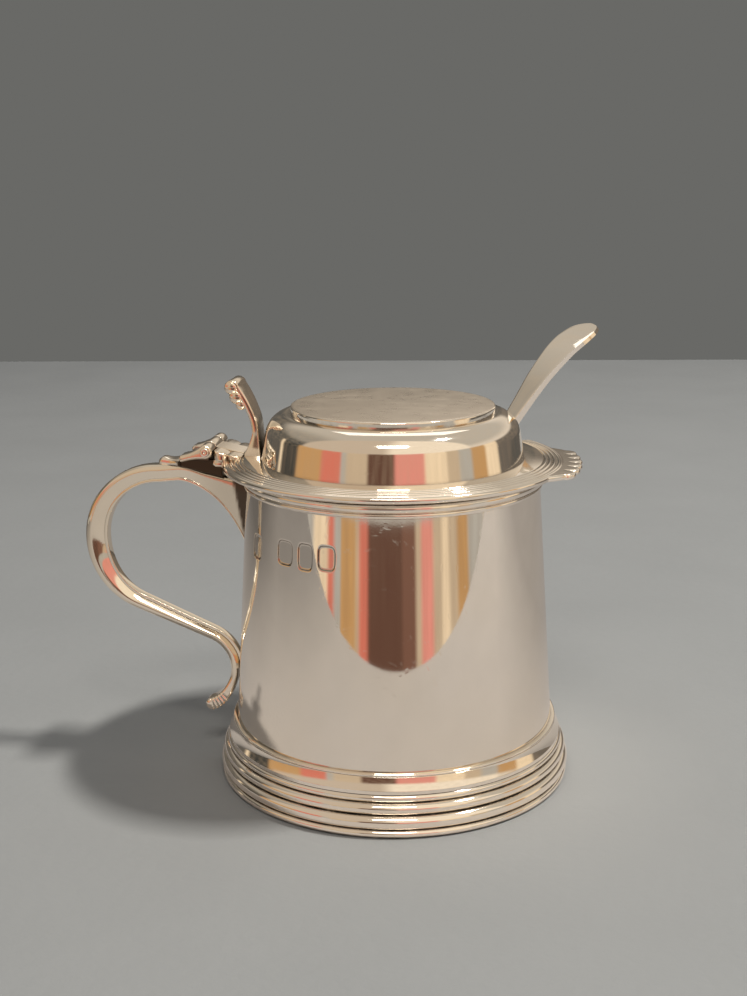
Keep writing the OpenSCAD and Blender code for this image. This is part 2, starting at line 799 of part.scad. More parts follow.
module thumbpiece() {
    color("khaki") difference() {
        translate([thumb_x, 0, flange_top]) {
            loft([for (i = [0 : len(thumb_path) - 1]) thumb_ring(i)]);
            translate([-thumb_lean, thumb_scroll_length / 2, thumb_height]) rotate([90, 0, 0]) {
                cylinder(h = thumb_scroll_length, r = thumb_scroll);
                translate([0, 0, -thumb_boss_reach]) {
                    cylinder(h = thumb_scroll_length + thumb_boss_reach * 2, r = thumb_boss);
                }
            }
        }
        cylinder(h = flange_top + thumb_height, r = dome_r);
        cylinder(h = flange_top, r = flange_r);
    }
}

module liner_outside() {
    translate([0, liner_bottom + liner_heel]) {
        square([liner_r, liner_top - liner_bottom - liner_heel - liner_wall / 2]);
    }
    translate([0, liner_bottom]) square([liner_r - liner_heel, liner_floor]);
    translate([liner_r - liner_heel, liner_bottom + liner_heel]) circle(liner_heel);
    translate([liner_r - liner_wall / 2, liner_top - liner_wall / 2]) circle(liner_wall / 2);
}

module liner_inside() {
    translate([0, liner_floor_z + liner_fillet]) square([liner_in, liner_top]);
    translate([0, liner_floor_z]) square([liner_in - liner_fillet, liner_top]);
    translate([liner_in - liner_fillet, liner_floor_z + liner_fillet]) circle(liner_fillet);
}

module glass_liner() {
    color("royalblue") rotate_extrude() {
        difference() {
            liner_outside();
            liner_inside();
        }
    }
}

// Spoon: rows of station, width, thickness, dish and offset from the stem's line, from the bowl's
// tip to the handle's end. Station 0 is where the stem passes the mouth's edge.
bend_start = 0.35 * spoon_out;
bend_power = 2.5;
function bend(s) = -spoon_bend * (max(0, s - bend_start) / (spoon_out - bend_start)) ^ bend_power;
function in_bowl(part, wide, deep) =
    [part * bowl_length - spoon_in, wide * bowl_width, bowl_sheet, deep * bowl_dish, -spoon_crank];
function on_stem(s, wide, thick) = [s, wide, thick, 0, bend(s)];
function on_handle(part, wide) = on_stem(part * spoon_out, mix(stem_width, spoon_end_width, wide),
    mix(stem_thickness, bowl_sheet, part));
bowl_end = bowl_length - spoon_in;
spoon_rows = [
    in_bowl(0, 0.12, 0.02),
    in_bowl(0.03, 0.38, 0.12),
    in_bowl(0.14, 0.74, 0.5),
    in_bowl(0.34, 0.98, 0.94),
    in_bowl(0.55, 1, 1),
    in_bowl(0.78, 0.74, 0.66),
    in_bowl(0.92, 0.42, 0.22),
    [bowl_end + 0.05 * bowl_length, stem_width * 1.15, stem_thickness, 0, -0.9 * spoon_crank],
    [bowl_end + 0.35 * bowl_length, stem_width * 0.95, stem_thickness * 1.1, 0, -0.4 * spoon_crank],
    [bowl_end + 0.8 * bowl_length, stem_width * 0.9, stem_thickness * 1.05, 0, 0],
    on_handle(0, 0),
    on_handle(0.3, 0.2),
    on_handle(0.5, 0.5),
    on_handle(0.7, 0.82),
    on_handle(0.87, 1),
    on_handle(0.95, 0.8),
    on_handle(0.99, 0.3),
    on_stem(spoon_out, stem_width / 2, bowl_sheet)
];
spoon_path = curve(spoon_rows, 4);
spoon_steps = 10;
spoon_edge = 0.8;
function spoon_side(row, side) = [
    for (k = [0 : spoon_steps])
    let (
        u = side * (1 - k * 2 / spoon_steps),
        thick = row[2] / 2 * mix(spoon_edge, 1, sqrt(1 - u ^ 4))
    )
    [row[0], u * row[1] / 2, row[4] - row[3] * (1 - u ^ 2) + side * thick]
];

module spoon() {
    color("beige") rotate([0, 0, spoon_azimuth]) translate([stem_r, 0, stem_z]) {
        rotate([0, -spoon_lean, 0]) {
            loft([for (row = spoon_path) concat(spoon_side(row, 1), spoon_side(row, -1))]);
        }
    }
}

drum();
base_plate();
foot_ring();
foot_moulding();
mouth_wire();
handle_shell();
handle_strip();
handle_tail();
hinge_bearer();
hinge_pin();
lid_flange();
lid_dome();
lid_top_plate();
lid_bezel();
lid_leaf();
thumbpiece();
glass_liner();
spoon();
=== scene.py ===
"""Mustard pot in the form of a small lidded tankard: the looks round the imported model."""

import json
import math

import bmesh
import bpy
from mathutils import Matrix, Vector


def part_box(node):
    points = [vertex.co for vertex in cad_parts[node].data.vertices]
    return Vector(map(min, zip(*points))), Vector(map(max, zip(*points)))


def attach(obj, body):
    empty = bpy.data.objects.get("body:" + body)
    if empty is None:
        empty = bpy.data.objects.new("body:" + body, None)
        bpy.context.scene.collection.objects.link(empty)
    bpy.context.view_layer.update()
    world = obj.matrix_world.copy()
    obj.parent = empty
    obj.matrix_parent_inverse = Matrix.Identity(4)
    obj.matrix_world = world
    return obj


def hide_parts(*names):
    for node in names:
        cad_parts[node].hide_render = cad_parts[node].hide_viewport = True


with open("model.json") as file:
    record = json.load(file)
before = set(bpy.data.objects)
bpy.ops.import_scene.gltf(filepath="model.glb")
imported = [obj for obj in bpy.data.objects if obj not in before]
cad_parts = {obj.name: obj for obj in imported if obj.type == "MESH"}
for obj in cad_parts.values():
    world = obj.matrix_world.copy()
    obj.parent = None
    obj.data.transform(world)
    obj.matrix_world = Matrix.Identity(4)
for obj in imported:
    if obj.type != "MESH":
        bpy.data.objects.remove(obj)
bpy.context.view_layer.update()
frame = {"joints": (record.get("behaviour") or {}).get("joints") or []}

MM = 0.001
MERGE = 0.002 * MM
COLUMNS = 192
LOW, HIGH = 0, 1


def box_end(node, side, axis="z"):
    """Where the box of a CAD node ends, in millimetres."""
    return round(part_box(node)[side]["xyz".index(axis)] / MM, 3)


def joint(name):
    return next(row for row in frame["joints"] if row["name"] == name)


# Sizes that several pieces share, in millimetres; levels and axes come from the frame
BASE_LIFT = box_end("base_plate", LOW)
BASE_TOP = box_end("base_plate", HIGH)
MOUTH_Z = box_end("drum", HIGH)
MOUTH_R = 24.3
MOUTH_STEP = 0.5
DRUM_SPREAD = 3.3
DRUM_WALL = 0.9
LID_Z = box_end("lid_flange", LOW)
FLANGE_TOP = box_end("lid_flange", HIGH)
FLANGE_R = 28.4
DOME_R = box_end("lid_dome", HIGH, "x")
DOME_TOP = box_end("lid_dome", HIGH)
DOME_SHEET = 0.8
DOME_IN = DOME_R - DOME_SHEET
HINGE_X, _, HINGE_Z = (round(c / MM, 3) for c in joint("lid_hinge")["pos_m"])
stem_axis = joint("spoon_lift")["axis"]
SPOON_AZIMUTH = math.atan2(stem_axis[1], stem_axis[0])
SPOON_LEAN = math.asin(stem_axis[2])
SLOT = 6.0


def drum_r(z):
    """Outside radius of the drum at a height."""
    return MOUTH_R + DRUM_SPREAD * (1 - z / MOUTH_Z)


def lerp(a, b, t):
    return a + (b - a) * t


def toward(a, b, t):
    return (lerp(a[0], b[0], t), lerp(a[1], b[1], t))


def smooth(t):
    t = max(0.0, min(1.0, t))
    return t * t * (3 - 2 * t)


def polar(centre, r, degrees):
    a = math.radians(degrees)
    return (centre[0] + r * math.cos(a), centre[1] + r * math.sin(a))


def around(r, a, z):
    return (r * math.cos(a), r * math.sin(a), z)


def arc(centre, r, start, end, steps):
    return [polar(centre, r, lerp(start, end, k / steps)) for k in range(steps + 1)]


CORNER_STEPS = 4
CORNER_SHARE = 0.45
NEARLY_STRAIGHT = 1.55
SOFT_EDGE = 0.2


def rounded(points, radius, steps=CORNER_STEPS):
    """A closed outline with its corners rounded."""
    out = []
    n = len(points)
    for i, p in enumerate(points):
        a, b = points[i - 1], points[(i + 1) % n]
        ax, ay, bx, by = a[0] - p[0], a[1] - p[1], b[0] - p[0], b[1] - p[1]
        la, lb = math.hypot(ax, ay), math.hypot(bx, by)
        cosine = max(-1.0, min(1.0, (ax * bx + ay * by) / (la * lb)))
        half = math.acos(cosine) / 2
        if half >= NEARLY_STRAIGHT:
            out.append(p)
            continue
        reach = min(radius / math.tan(half), CORNER_SHARE * la, CORNER_SHARE * lb)
        p0, p1 = toward(p, a, reach / la), toward(p, b, reach / lb)
        for k in range(steps + 1):
            t = k / steps
            out.append(toward(toward(p0, p, t), toward(p, p1, t), t))
    return out


def oblong(x0, z0, x1, z1):
    return [(x0, z0), (x1, z0), (x1, z1), (x0, z1)]


def bowed(p, q, depth, steps=8):
    """Points between p and q on a shallow curve."""
    length = math.dist(p, q)
    nx, nz = (q[1] - p[1]) / length, (p[0] - q[0]) / length
    out = []
    for k in range(1, steps):
        t = k / steps
        bow = depth * 4 * t * (1 - t)
        x, z = toward(p, q, t)
        out.append((x - nx * bow, z - nz * bow))
    return out


def through(rows, steps):
    """A smooth curve through rows of numbers."""
    out = []
    last = len(rows) - 1
    for i in range(last):
        a, b, c, d = (rows[max(0, min(last, i + k))] for k in (-1, 0, 1, 2))
        for k in range(steps + (i == last - 1)):
            t = k / steps
            out.append([
                0.5 * (2 * q + (r - p) * t + (2 * p - 5 * q + 4 * r - s) * t ** 2
                       + (3 * q - p - 3 * r + s) * t ** 3)
                for p, q, r, s in zip(a, b, c, d)])
    return out


class Solid:
    """Points and faces of one piece, in millimetres."""

    def __init__(self):
        self.points = []
        self.faces = []

    def add(self, points, faces):
        base = len(self.points)
        self.points += points
        self.faces += [[base + k for k in face] for face in faces]
        return self

    def rings(self, rings, closed=False):
        """Skin over equal rings of points, capped at both ends or closed on itself."""
        n, m = len(rings[0]), len(rings)
        faces = []
        for i in range(m if closed else m - 1):
            for j in range(n):
                k, i2 = (j + 1) % n, (i + 1) % m
                faces.append([i * n + j, i * n + k, i2 * n + k, i2 * n + j])
        if not closed:
            faces.append(list(range(n))[::-1])
            faces.append([(m - 1) * n + j for j in range(n)])
        return self.add([p for ring in rings for p in ring], faces)

    def turned(self, profile, angles=None, inset=None):
        """A closed profile of (radius, height) turned about Z."""
        angles = angles or [math.tau * k / COLUMNS for k in range(COLUMNS)]
        rings = []
        for a in angles:
            rings.append([around(r - inset(a, r, z) if inset else r, a, z) for r, z in profile])
        return self.rings(rings, closed=True)

    def turned_with_slot(self, profile):
        """As turned, less the spoon's slot, which has the same width at every radius."""
        rings = []
        for k in range(COLUMNS + 1):
            ring = []
            for r, z in profile:
                side = math.asin(SLOT / 2 / r)
                a = SPOON_AZIMUTH + lerp(side, math.tau - side, k / COLUMNS)
                ring.append(around(r, a, z))
            rings.append(ring)
        return self.rings(rings)

    def prism(self, outline, y0, y1, bevel, steps=1):
        """An outline in X and Z carried along Y, with its edges rounded at both ends."""
        n = len(outline)
        cx = sum(p[0] for p in outline) / n
        cz = sum(p[1] for p in outline) / n
        inward = []
        for i, p in enumerate(outline):
            a, b = outline[i - 1], outline[(i + 1) % n]
            tx, tz = b[0] - a[0], b[1] - a[1]
            length = math.hypot(tx, tz) or 1.0
            nx, nz = tz / length, -tx / length
            if (p[0] - cx) * nx + (p[1] - cz) * nz < 0:
                nx, nz = -nx, -nz
            inward.append((-nx, -nz))
        rows = [(bevel * (1 - s), bevel * (1 - c)) for c, s in arc((0, 0), 1, 0, 90, steps)]
        levels = [(inset, y0 + d) for inset, d in rows]
        levels += [(inset, y1 - d) for inset, d in reversed(rows)]
        return self.rings([
            [(x + nx * inset, y, z + nz * inset) for (x, z), (nx, nz) in zip(outline, inward)]
            for inset, y in levels])

    def prisms(self, outline, near, far, bevel, steps=1):
        """The same prism on both sides of the middle."""
        self.prism(outline, near, far, bevel, steps)
        return self.prism(outline, -far, -near, bevel, steps)

    def turned_on_y(self, profile, x, z, columns):
        """A closed profile of (radius, y) turned about a line along Y through x, z."""
        rings = []
        for k in range(columns):
            a = math.tau * k / columns
            rings.append([(x + r * math.cos(a), y, z + r * math.sin(a)) for r, y in profile])
        return self.rings(rings, closed=True)


def roll(r, half, dome, steps=7):
    """Profile of a roll with domed ends, for turned_on_y."""
    end = arc((0, 0), 1, 0, 90, steps)
    upper = [(r * c, half + dome * s) for c, s in reversed(end)]
    return upper + [(r * c, -half - dome * s) for c, s in end]


def new_object(name, data):
    obj = bpy.data.objects.new(name, data)
    bpy.context.scene.collection.objects.link(obj)
    return obj


SHARP = 38
SWEPT = 50
REEDED = 60


def make(name, solid, body, node, material, sharp=SHARP, tarnish_and_shade_mark=None):
    """A finished piece, which rides on a body and stands for a CAD node."""
    mesh = bpy.data.meshes.new(name)
    mesh.from_pydata([[c * MM for c in p] for p in solid.points], [], solid.faces)
    bm = bmesh.new()
    bm.from_mesh(mesh)
    bmesh.ops.remove_doubles(bm, verts=bm.verts, dist=MERGE)
    bmesh.ops.recalc_face_normals(bm, faces=bm.faces)
    for face in bm.faces:
        face.smooth = True
    bm.to_mesh(mesh)
    bm.free()
    mesh.set_sharp_from_angle(angle=math.radians(sharp))
    if tarnish_and_shade_mark:
        layer = mesh.attributes.new("tarnish_and_shade_mark", "FLOAT", "POINT")
        for vertex in mesh.vertices:
            layer.data[vertex.index].value = tarnish_and_shade_mark(*(c / MM for c in vertex.co))
    mesh.materials.append(material)
    piece = new_object(name, mesh)
    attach(piece, body)
    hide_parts(node)
    return piece


class Nodes:
    """A short way to write a node tree."""

    def __init__(self, tree):
        self.tree = tree
        tree.nodes.clear()

    def fill(self, socket, value):
        if isinstance(value, bpy.types.NodeSocket):
            self.tree.links.new(value, socket)
        else:
            socket.default_value = value

    def add(self, kind, inputs=None, **settings):
        node = self.tree.nodes.new(kind)
        for key, value in settings.items():
            setattr(node, key, value)
        for key, value in (inputs or {}).items():
            self.fill(node.inputs[key], value)
        return node

    def place(self, kind="Object"):
        return self.add("ShaderNodeTexCoord").outputs[kind]

    def noise(self, place, scale, detail=3.0, roughness=0.5):
        """Noise with a scale in waves per metre."""
        return self.add("ShaderNodeTexNoise", {
            "Vector": place, "Scale": scale, "Detail": detail, "Roughness": roughness,
        }).outputs["Fac"]

    def math(self, operation, a, b, clamp=False):
        node = self.add("ShaderNodeMath", {0: a, 1: b}, operation=operation, use_clamp=clamp)
        return node.outputs[0]

    def ramp(self, value, stops):
        node = self.add("ShaderNodeValToRGB", {"Fac": value})
        elements = node.color_ramp.elements
        while len(elements) < len(stops):
            elements.new(1.0)
        for element, (place, colour) in zip(elements, stops):
            element.position = place
            element.color = (*colour, 1)
        return node.outputs["Color"]

    def mix(self, factor, a, b):
        node = self.add("ShaderNodeMix", data_type="RGBA")
        for key, value in (("Factor", factor), ("A", a), ("B", b)):
            socket = next(s for s in node.inputs if s.name == key and s.enabled)
            self.fill(socket, (*value, 1) if isinstance(value, tuple) else value)
        return next(s for s in node.outputs if s.enabled)

    def spread(self, value, low, high, to_low=0.0, to_high=1.0, kind="LINEAR"):
        return self.add("ShaderNodeMapRange", {
            "Value": value, "From Min": low, "From Max": high, "To Min": to_low, "To Max": to_high,
        }, interpolation_type=kind).outputs[0]

    def above(self, value, low, high):
        """0 below low, 1 above high and a smooth step between."""
        return self.spread(value, low, high, kind="SMOOTHSTEP")

    def bump(self, height, strength, distance):
        """Relief with a distance in millimetres."""
        return self.add("ShaderNodeBump", {
            "Height": height, "Strength": strength, "Distance": distance * MM,
        }).outputs[0]


def new_material(name):
    material = bpy.data.materials.new(name)
    material.use_nodes = True
    return material, Nodes(material.node_tree)


def shade(n, inputs):
    """End a material's tree with a shader that has these inputs."""
    shader = n.add("ShaderNodeBsdfPrincipled", inputs)
    n.add("ShaderNodeOutputMaterial", {"Surface": shader.outputs[0]})


# Detail of the materials, as shares
MIDDLE = (0.3, 0.7)
SCRATCH_FULL = 0.72
SCRATCH_DEPTH = -0.02
GRAIN_DEPTH = 0.008
GROOVE_DARK = 0.30
GROOVE_CLEAR = 0.72
SHADE_TARNISH_PATCHES = (0.3, 0.65, 0.45, 0.95)
SHADE_TARNISH_ROUGH = 0.25
ROUGH_DRIFT = 0.1
GLASS_ROUGH = (0.02, 0.07)
# Dark colour for tarnish in hollows and for painted shade in grooves, gaps and marked places
TARNISH_AND_SHADE_TONE = (0.06, 0.042, 0.028)
# Turn, scale, start and bump of the two kinds of scratches
HAIRS = ((0.5, 0.3, 0.9), (260.0, 4200.0, 700.0), 0.62, 0.25)
BRUSHED = ((0.0, 0.0, 0.15), (45.0, 900.0, 900.0), 0.55, 0.15)


def silver(name, bright, warm, wave, rough=0.06, scratch=0.05, groove=1.2, scratches=HAIRS):
    """Silver whose colour drifts, with tarnish and painted shade in its grooves and in places a piece
    marks, fine scratches and slight waves.
    """
    material, n = new_material(name)
    place = n.place()
    turned, scale, start, strength = scratches
    drift = n.noise(place, scale=60.0)
    cloud = n.noise(place, scale=420.0, roughness=0.6)
    grain = n.noise(place, scale=2600.0, detail=5.0, roughness=0.7)
    stretched = n.add("ShaderNodeMapping", {"Vector": place, "Rotation": turned, "Scale": scale})
    lines = n.spread(n.noise(stretched.outputs[0], scale=1.0, detail=2.0), start, SCRATCH_FULL)
    colour = n.mix(n.spread(drift, *MIDDLE), bright, warm)
    # Darkening by ambient occlusion in grooves and gaps: partly tarnish, partly painted shade
    hollow = n.add("ShaderNodeAmbientOcclusion", {"Distance": groove * MM}, samples=8).outputs["AO"]
    groove_shade_and_tarnish = n.math("MULTIPLY", n.spread(hollow, GROOVE_DARK, GROOVE_CLEAR, 1.0, 0.0),
                  n.spread(cloud, *SHADE_TARNISH_PATCHES))
    # Places a piece marks dark: tarnish round the cartouches, painted shade beside the handle's joint and
    # under the hinge's lugs
    marked = n.add("ShaderNodeAttribute", attribute_name="tarnish_and_shade_mark").outputs["Fac"]
    groove_shade_and_tarnish = n.math("MAXIMUM", groove_shade_and_tarnish, marked)
    colour = n.mix(groove_shade_and_tarnish, colour, TARNISH_AND_SHADE_TONE)
    dull = n.spread(cloud, *MIDDLE, rough * (1 - ROUGH_DRIFT), rough * (1 + ROUGH_DRIFT))
    dull = n.math("ADD", dull, n.math("MULTIPLY", lines, scratch))
    dull = n.math("ADD", dull, n.math("MULTIPLY", groove_shade_and_tarnish, SHADE_TARNISH_ROUGH), clamp=True)
    height = n.math("ADD", n.math("MULTIPLY", drift, wave), n.math("MULTIPLY", lines, SCRATCH_DEPTH))
    height = n.math("ADD", height, n.math("MULTIPLY", grain, GRAIN_DEPTH))
    bump = n.bump(height, strength, distance=0.2)
    shade(n, {"Base Color": colour, "Roughness": dull, "Normal": bump, "Metallic": 1.0})
    return material


def glass(name, tint, deep):
    """Clear glass with a little drift of tint and faint mould waves."""
    material, n = new_material(name)
    place = n.place()
    drift = n.noise(place, scale=70.0)
    fine = n.noise(place, scale=500.0)
    shade(n, {
        "Base Color": n.mix(drift, tint, deep), "Roughness": n.spread(fine, *MIDDLE, *GLASS_ROUGH),
        "Normal": n.bump(drift, strength=0.2, distance=0.4), "IOR": 1.5, "Transmission Weight": 1.0})
    return material


BRIGHT = (0.93, 0.87, 0.79)
WARM = (0.91, 0.84, 0.74)
# The handle's silver is a warmer copy of the body's, a painted reflection tone
HANDLE_BRIGHT = (0.93, 0.86, 0.74)
HANDLE_WARM = (0.91, 0.81, 0.66)
CAST = (0.89, 0.78, 0.63)
WORN = (0.88, 0.79, 0.68)
WORN_DEEP = (0.78, 0.697, 0.595)
COBALT = (0.30, 0.42, 0.92)
COBALT_DEEP = (0.18, 0.28, 0.82)
body_silver = silver("silver_polished", BRIGHT, WARM, wave=0.08)
drum_silver = silver("silver_drum", BRIGHT, WARM, wave=0.05, rough=0.035, scratch=0.08, groove=0.9)
handle_silver = silver("silver_handle", HANDLE_BRIGHT, HANDLE_WARM, wave=0.10)
# The cast silver's longer occlusion reach paints shade into the gap under the hinge's lugs
cast_silver = silver("silver_cast", BRIGHT, CAST, wave=0.30, rough=0.13, scratch=0.06, groove=2.4)
worn_silver = silver("silver_worn", WORN, WORN_DEEP, wave=0.05, rough=0.29, scratch=0.08, groove=0.2,
                     scratches=BRUSHED)
blue_glass = glass("glass_blue", COBALT, COBALT_DEEP)

# Drum, with blank sunk cartouches on its side: rows of angle, height, half width and half height
CARTOUCHES = [
    (-143.0, 42.3, 1.5, 2.1),
    (-125.1, 43.0, 1.75, 2.1),
    (-115.5, 43.0, 1.5, 2.3),
    (-106.6, 43.3, 1.6, 2.1),
]
SUNK_DEPTH = 0.16
SUNK_EDGE = 0.32
SUNK_POWER = 4
FACE_DEPTH = 0.3
STEP_TARNISH = 0.95
FLOOR_TARNISH = 0.15
FINE_FROM, FINE_TO, FINE_STEP = -149, -101, 0.25
COARSE_STEP = 2
PLAIN_RUN, PLAIN_ROWS = 38, 12
FINE_Z, FINE_ROW, FINE_ROWS = 40, 0.12, 50
UPPER_ROWS = [48, 50, 51.5]
RIM_OUT_Z, RIM_IN_Z = 51.9, 51.5
INNER_ROWS = [45, 30, 15, BASE_TOP]
BASE_ROUND = 0.05


def cartouche(a, r, z):
    """How deep a point of the drum's outer face is sunk."""
    sunk = 0.0
    if r > drum_r(z) - FACE_DEPTH:
        for middle, height, wide, high in CARTOUCHES:
            u = abs(a - math.radians(middle)) * r / wide
            v = abs(z - height) / high
            inside = 1 - (u ** SUNK_POWER + v ** SUNK_POWER) ** (1 / SUNK_POWER)
            sunk = max(sunk, smooth(inside * wide / SUNK_EDGE))
    return sunk * SUNK_DEPTH


def cartouche_line(x, y, z):
    """Tarnish along the step round each cartouche."""
    if math.hypot(x, y) <= drum_r(z) - FACE_DEPTH:
        return 0.0
    share = cartouche(math.atan2(y, x), drum_r(z), z) / SUNK_DEPTH
    return STEP_TARNISH * (1 - abs(2 * share - 1)) + FLOOR_TARNISH * share


fine_columns = round((FINE_TO - FINE_FROM) / FINE_STEP) + 1
drum_angles = [math.radians(FINE_FROM + FINE_STEP * k) for k in range(fine_columns)]
drum_angles += [math.radians(d) for d in range(FINE_TO + COARSE_STEP, FINE_FROM + 360, COARSE_STEP)]
drum_heights = [BASE_TOP + PLAIN_RUN * k / PLAIN_ROWS for k in range(PLAIN_ROWS + 1)]
drum_heights += [FINE_Z + FINE_ROW * k for k in range(1, FINE_ROWS + 1)] + UPPER_ROWS
drum_rim = rounded([
    (drum_r(RIM_OUT_Z), RIM_OUT_Z), (MOUTH_R, MOUTH_Z), (MOUTH_R - DRUM_WALL, MOUTH_Z),
    (drum_r(RIM_IN_Z) - DRUM_WALL, RIM_IN_Z)], SOFT_EDGE)
per_corner = CORNER_STEPS + 1
drum_profile = [(drum_r(z), z) for z in drum_heights] + drum_rim[per_corner:3 * per_corner]
drum_profile += [(drum_r(z) - DRUM_WALL, z) for z in INNER_ROWS]
drum = Solid().turned(drum_profile, drum_angles, cartouche)
make("drum_wall", drum, "pot", "drum", drum_silver, tarnish_and_shade_mark=cartouche_line)

base_r = drum_r(BASE_TOP)
base_line = rounded(oblong(0, BASE_LIFT, base_r, BASE_TOP), BASE_ROUND)
make("base_disc", Solid().turned(base_line), "pot", "base_plate", worn_silver)

# Foot: its outline is the widest of its members at each height; rows of reed radius and step in
FOOT_R = drum_r(0) + 2.38
FOOT_REEDS = [(0.65, 0.15), (1.18, 0.0), (0.94, 0.46), (0.63, 1.16)]
RING_REEDS = 2
FILLET_IN = 1.5
FILLET = 0.6
BAND = 2.0
BAND_R = 3.06
BAND_HOLLOW = 0.08
BEAD = 0.24
GROOVE = 0.04
FOOT_ROW = 0.04
FOOT_FLAT = 0.8
FOOT_START = 0.02
HAIRLINE = 1e-4
foot_tops = []
level = 0.0
for radius, _ in FOOT_REEDS:
    level += radius * 2
    foot_tops.append(level)
fillet_top = level + FILLET
band_top = fillet_top + BAND
foot_top = band_top + BEAD * 2
fillet_r = FOOT_R - FILLET_IN
band_end = fillet_r - BAND_R + math.sqrt(BAND_R ** 2 - BAND ** 2)


def foot_x(z):
    """Outside radius of the foot at a height."""
    best = 0.0
    for (radius, inset), top in zip(FOOT_REEDS, foot_tops):
        d = z - (top - radius)
        core = FOOT_R - inset - radius
        if abs(d) <= radius:
            best = max(best, core + math.sqrt(radius ** 2 - d * d))
        if abs(d) <= radius + GROOVE:
            best = max(best, core + radius * GROOVE)
    if foot_tops[-1] <= z <= fillet_top:
        best = max(best, fillet_r)
    if fillet_top <= z <= band_top:
        t = (z - fillet_top) / BAND
        best = max(best, lerp(fillet_r, band_end, t) - BAND_HOLLOW * 4 * t * (1 - t))
    d = z - (band_top + BEAD)
    if abs(d) <= BEAD:
        best = max(best, band_end - BEAD + math.sqrt(BEAD ** 2 - d * d))
    if z >= band_top:
        best = max(best, band_end - BEAD)
    return best


def foot_rows(low, high):
    count = round((high - low) / FOOT_ROW)
    heights = [lerp(low + HAIRLINE, high - HAIRLINE, k / count) for k in range(count + 1)]
    return [(foot_x(z), z) for z in heights]


split = foot_tops[RING_REEDS - 1]
ring_line = [(drum_r(0), 0.0), (FOOT_R - FOOT_FLAT, 0.0)] + foot_rows(FOOT_START, split)
ring_line += [(drum_r(split), split), (base_r, BASE_TOP)]
make("foot_reeds", Solid().turned(ring_line), "pot", "foot_ring", body_silver, sharp=REEDED)
moulding_line = foot_rows(split, foot_top) + [(drum_r(foot_top), foot_top), (drum_r(split), split)]
make("foot_steps", Solid().turned(moulding_line), "pot", "foot_moulding", body_silver, sharp=REEDED)

# Mouth wire: a small reed, a large one and a plain fillet up to the mouth
WIRE_SMALL = 0.42
WIRE_LARGE = 0.75
WIRE_FILLET = 0.35
WIRE_OUT = 1.0
WIRE_CORE = 0.25
WIRE_ROWS = 60
wire_fillet_z = MOUTH_Z - WIRE_FILLET
wire_mid = wire_fillet_z - WIRE_LARGE * 2
wire_low = wire_mid - WIRE_SMALL * 2
wire_r = drum_r(wire_low)
large_r = drum_r(wire_mid + WIRE_LARGE) + WIRE_OUT - WIRE_LARGE


def wire_x(z):
    """Outside radius of the wire at a height."""
    best = wire_r + WIRE_CORE
    for core, radius, low in ((wire_r, WIRE_SMALL, wire_low), (large_r, WIRE_LARGE, wire_mid)):
        d = z - (low + radius)
        if abs(d) < radius:
            best = max(best, core + math.sqrt(radius ** 2 - d * d))
    return max(best, MOUTH_R + MOUTH_STEP) if z > wire_fillet_z else best


wire_heights = [lerp(wire_low, MOUTH_Z, k / WIRE_ROWS) for k in range(WIRE_ROWS + 1)]
wire_line = [(wire_r, wire_low)] + [(wire_x(z), z) for z in wire_heights] + [(MOUTH_R, MOUTH_Z)]
make("mouth_reeds", Solid().turned(wire_line), "pot", "mouth_wire", body_silver, sharp=REEDED)

# Handle: pairs of points on the outer and inner outline, from the upper joint to the lower one
HANDLE_TOP = box_end("handle_shell", HIGH)
HANDLE_REACH = 53.87
LOOP_R = 13.4
LOOP_TOP = HANDLE_TOP - 0.4
DEPTH_TOP = 2.9
DEPTH_SIDE = 4.0
DEPTH_RUN = 2.7
DEPTH_TURN = 2.4
ROOT_RISE = 11.0
ROOT_RUN = 10.4
ROOT_CURVE = 1.1
ROOT_TIP = 1.6
ROOT_TIP_DROP = 0.8
ROOT_TIP_POWER = 4
ROOT_FALL = 0.22
ROOT_FALL_EASE = 5
TURN_R = 5.7
TURN_Z = 15.8
TURN_END = 2
WIDTH_TOP = 3.6
WIDTH_TURN = 2.7
STRIP = 0.6
STRIP_ROUND = 0.14
LIP = 0.1
BURY = 0.25
ROOT_STEPS = 34
LOOP_STEPS = 60
RUN_STEPS = 8
TURN_STEPS = 24
SIDE_STEPS = 6
BACK_STEPS = 10
SIDE_LEAN = 0.075
LEAN_MOST = 0.45
ROUND_FROM = 0.33
ROUND_OVER = 0.27
ROUND_NECK = 0.5
ROUND_BOW = 0.6
BACK_R = 0.9
BACK_ROUND = 0.82
loop_outer = (LOOP_R - HANDLE_REACH, LOOP_TOP - LOOP_R)
loop_inner_r = LOOP_R - (DEPTH_TOP + DEPTH_SIDE) / 2
loop_inner = (loop_outer[0] + (DEPTH_SIDE - DEPTH_TOP) / 2, LOOP_TOP - DEPTH_TOP - loop_inner_r)
root_z = HANDLE_TOP - DEPTH_TOP - ROOT_RISE
root_centre = (BURY - drum_r(root_z) - ROOT_TIP - ROOT_RUN, root_z)
turn_in = TURN_R + DEPTH_TURN
turn = (BURY - drum_r(TURN_Z) - turn_in, TURN_Z)
to_turn = (turn[0] - loop_outer[0], turn[1] - loop_outer[1])
slope = math.degrees(math.atan2(to_turn[1], to_turn[0])
                     + math.asin((LOOP_R + TURN_R) / math.hypot(*to_turn)))


def root_pair(t):
    """Points on the root's upper and lower outline, from the drum to the loop's top."""
    x = lerp(BURY * 2 - drum_r(HANDLE_TOP), root_centre[0], t)
    run = x - root_centre[0]
    a = math.pi / 2 * t
    tip = (1 - t) ** ROOT_TIP_POWER
    lower = (root_centre[0] + ROOT_RUN * math.cos(a) ** ROOT_CURVE + ROOT_TIP * tip,
             root_centre[1] + ROOT_RISE * math.sin(a) ** ROOT_CURVE - ROOT_TIP_DROP * tip)
    return ((x, HANDLE_TOP - ROOT_FALL * run * smooth(run / ROOT_FALL_EASE)), lower)


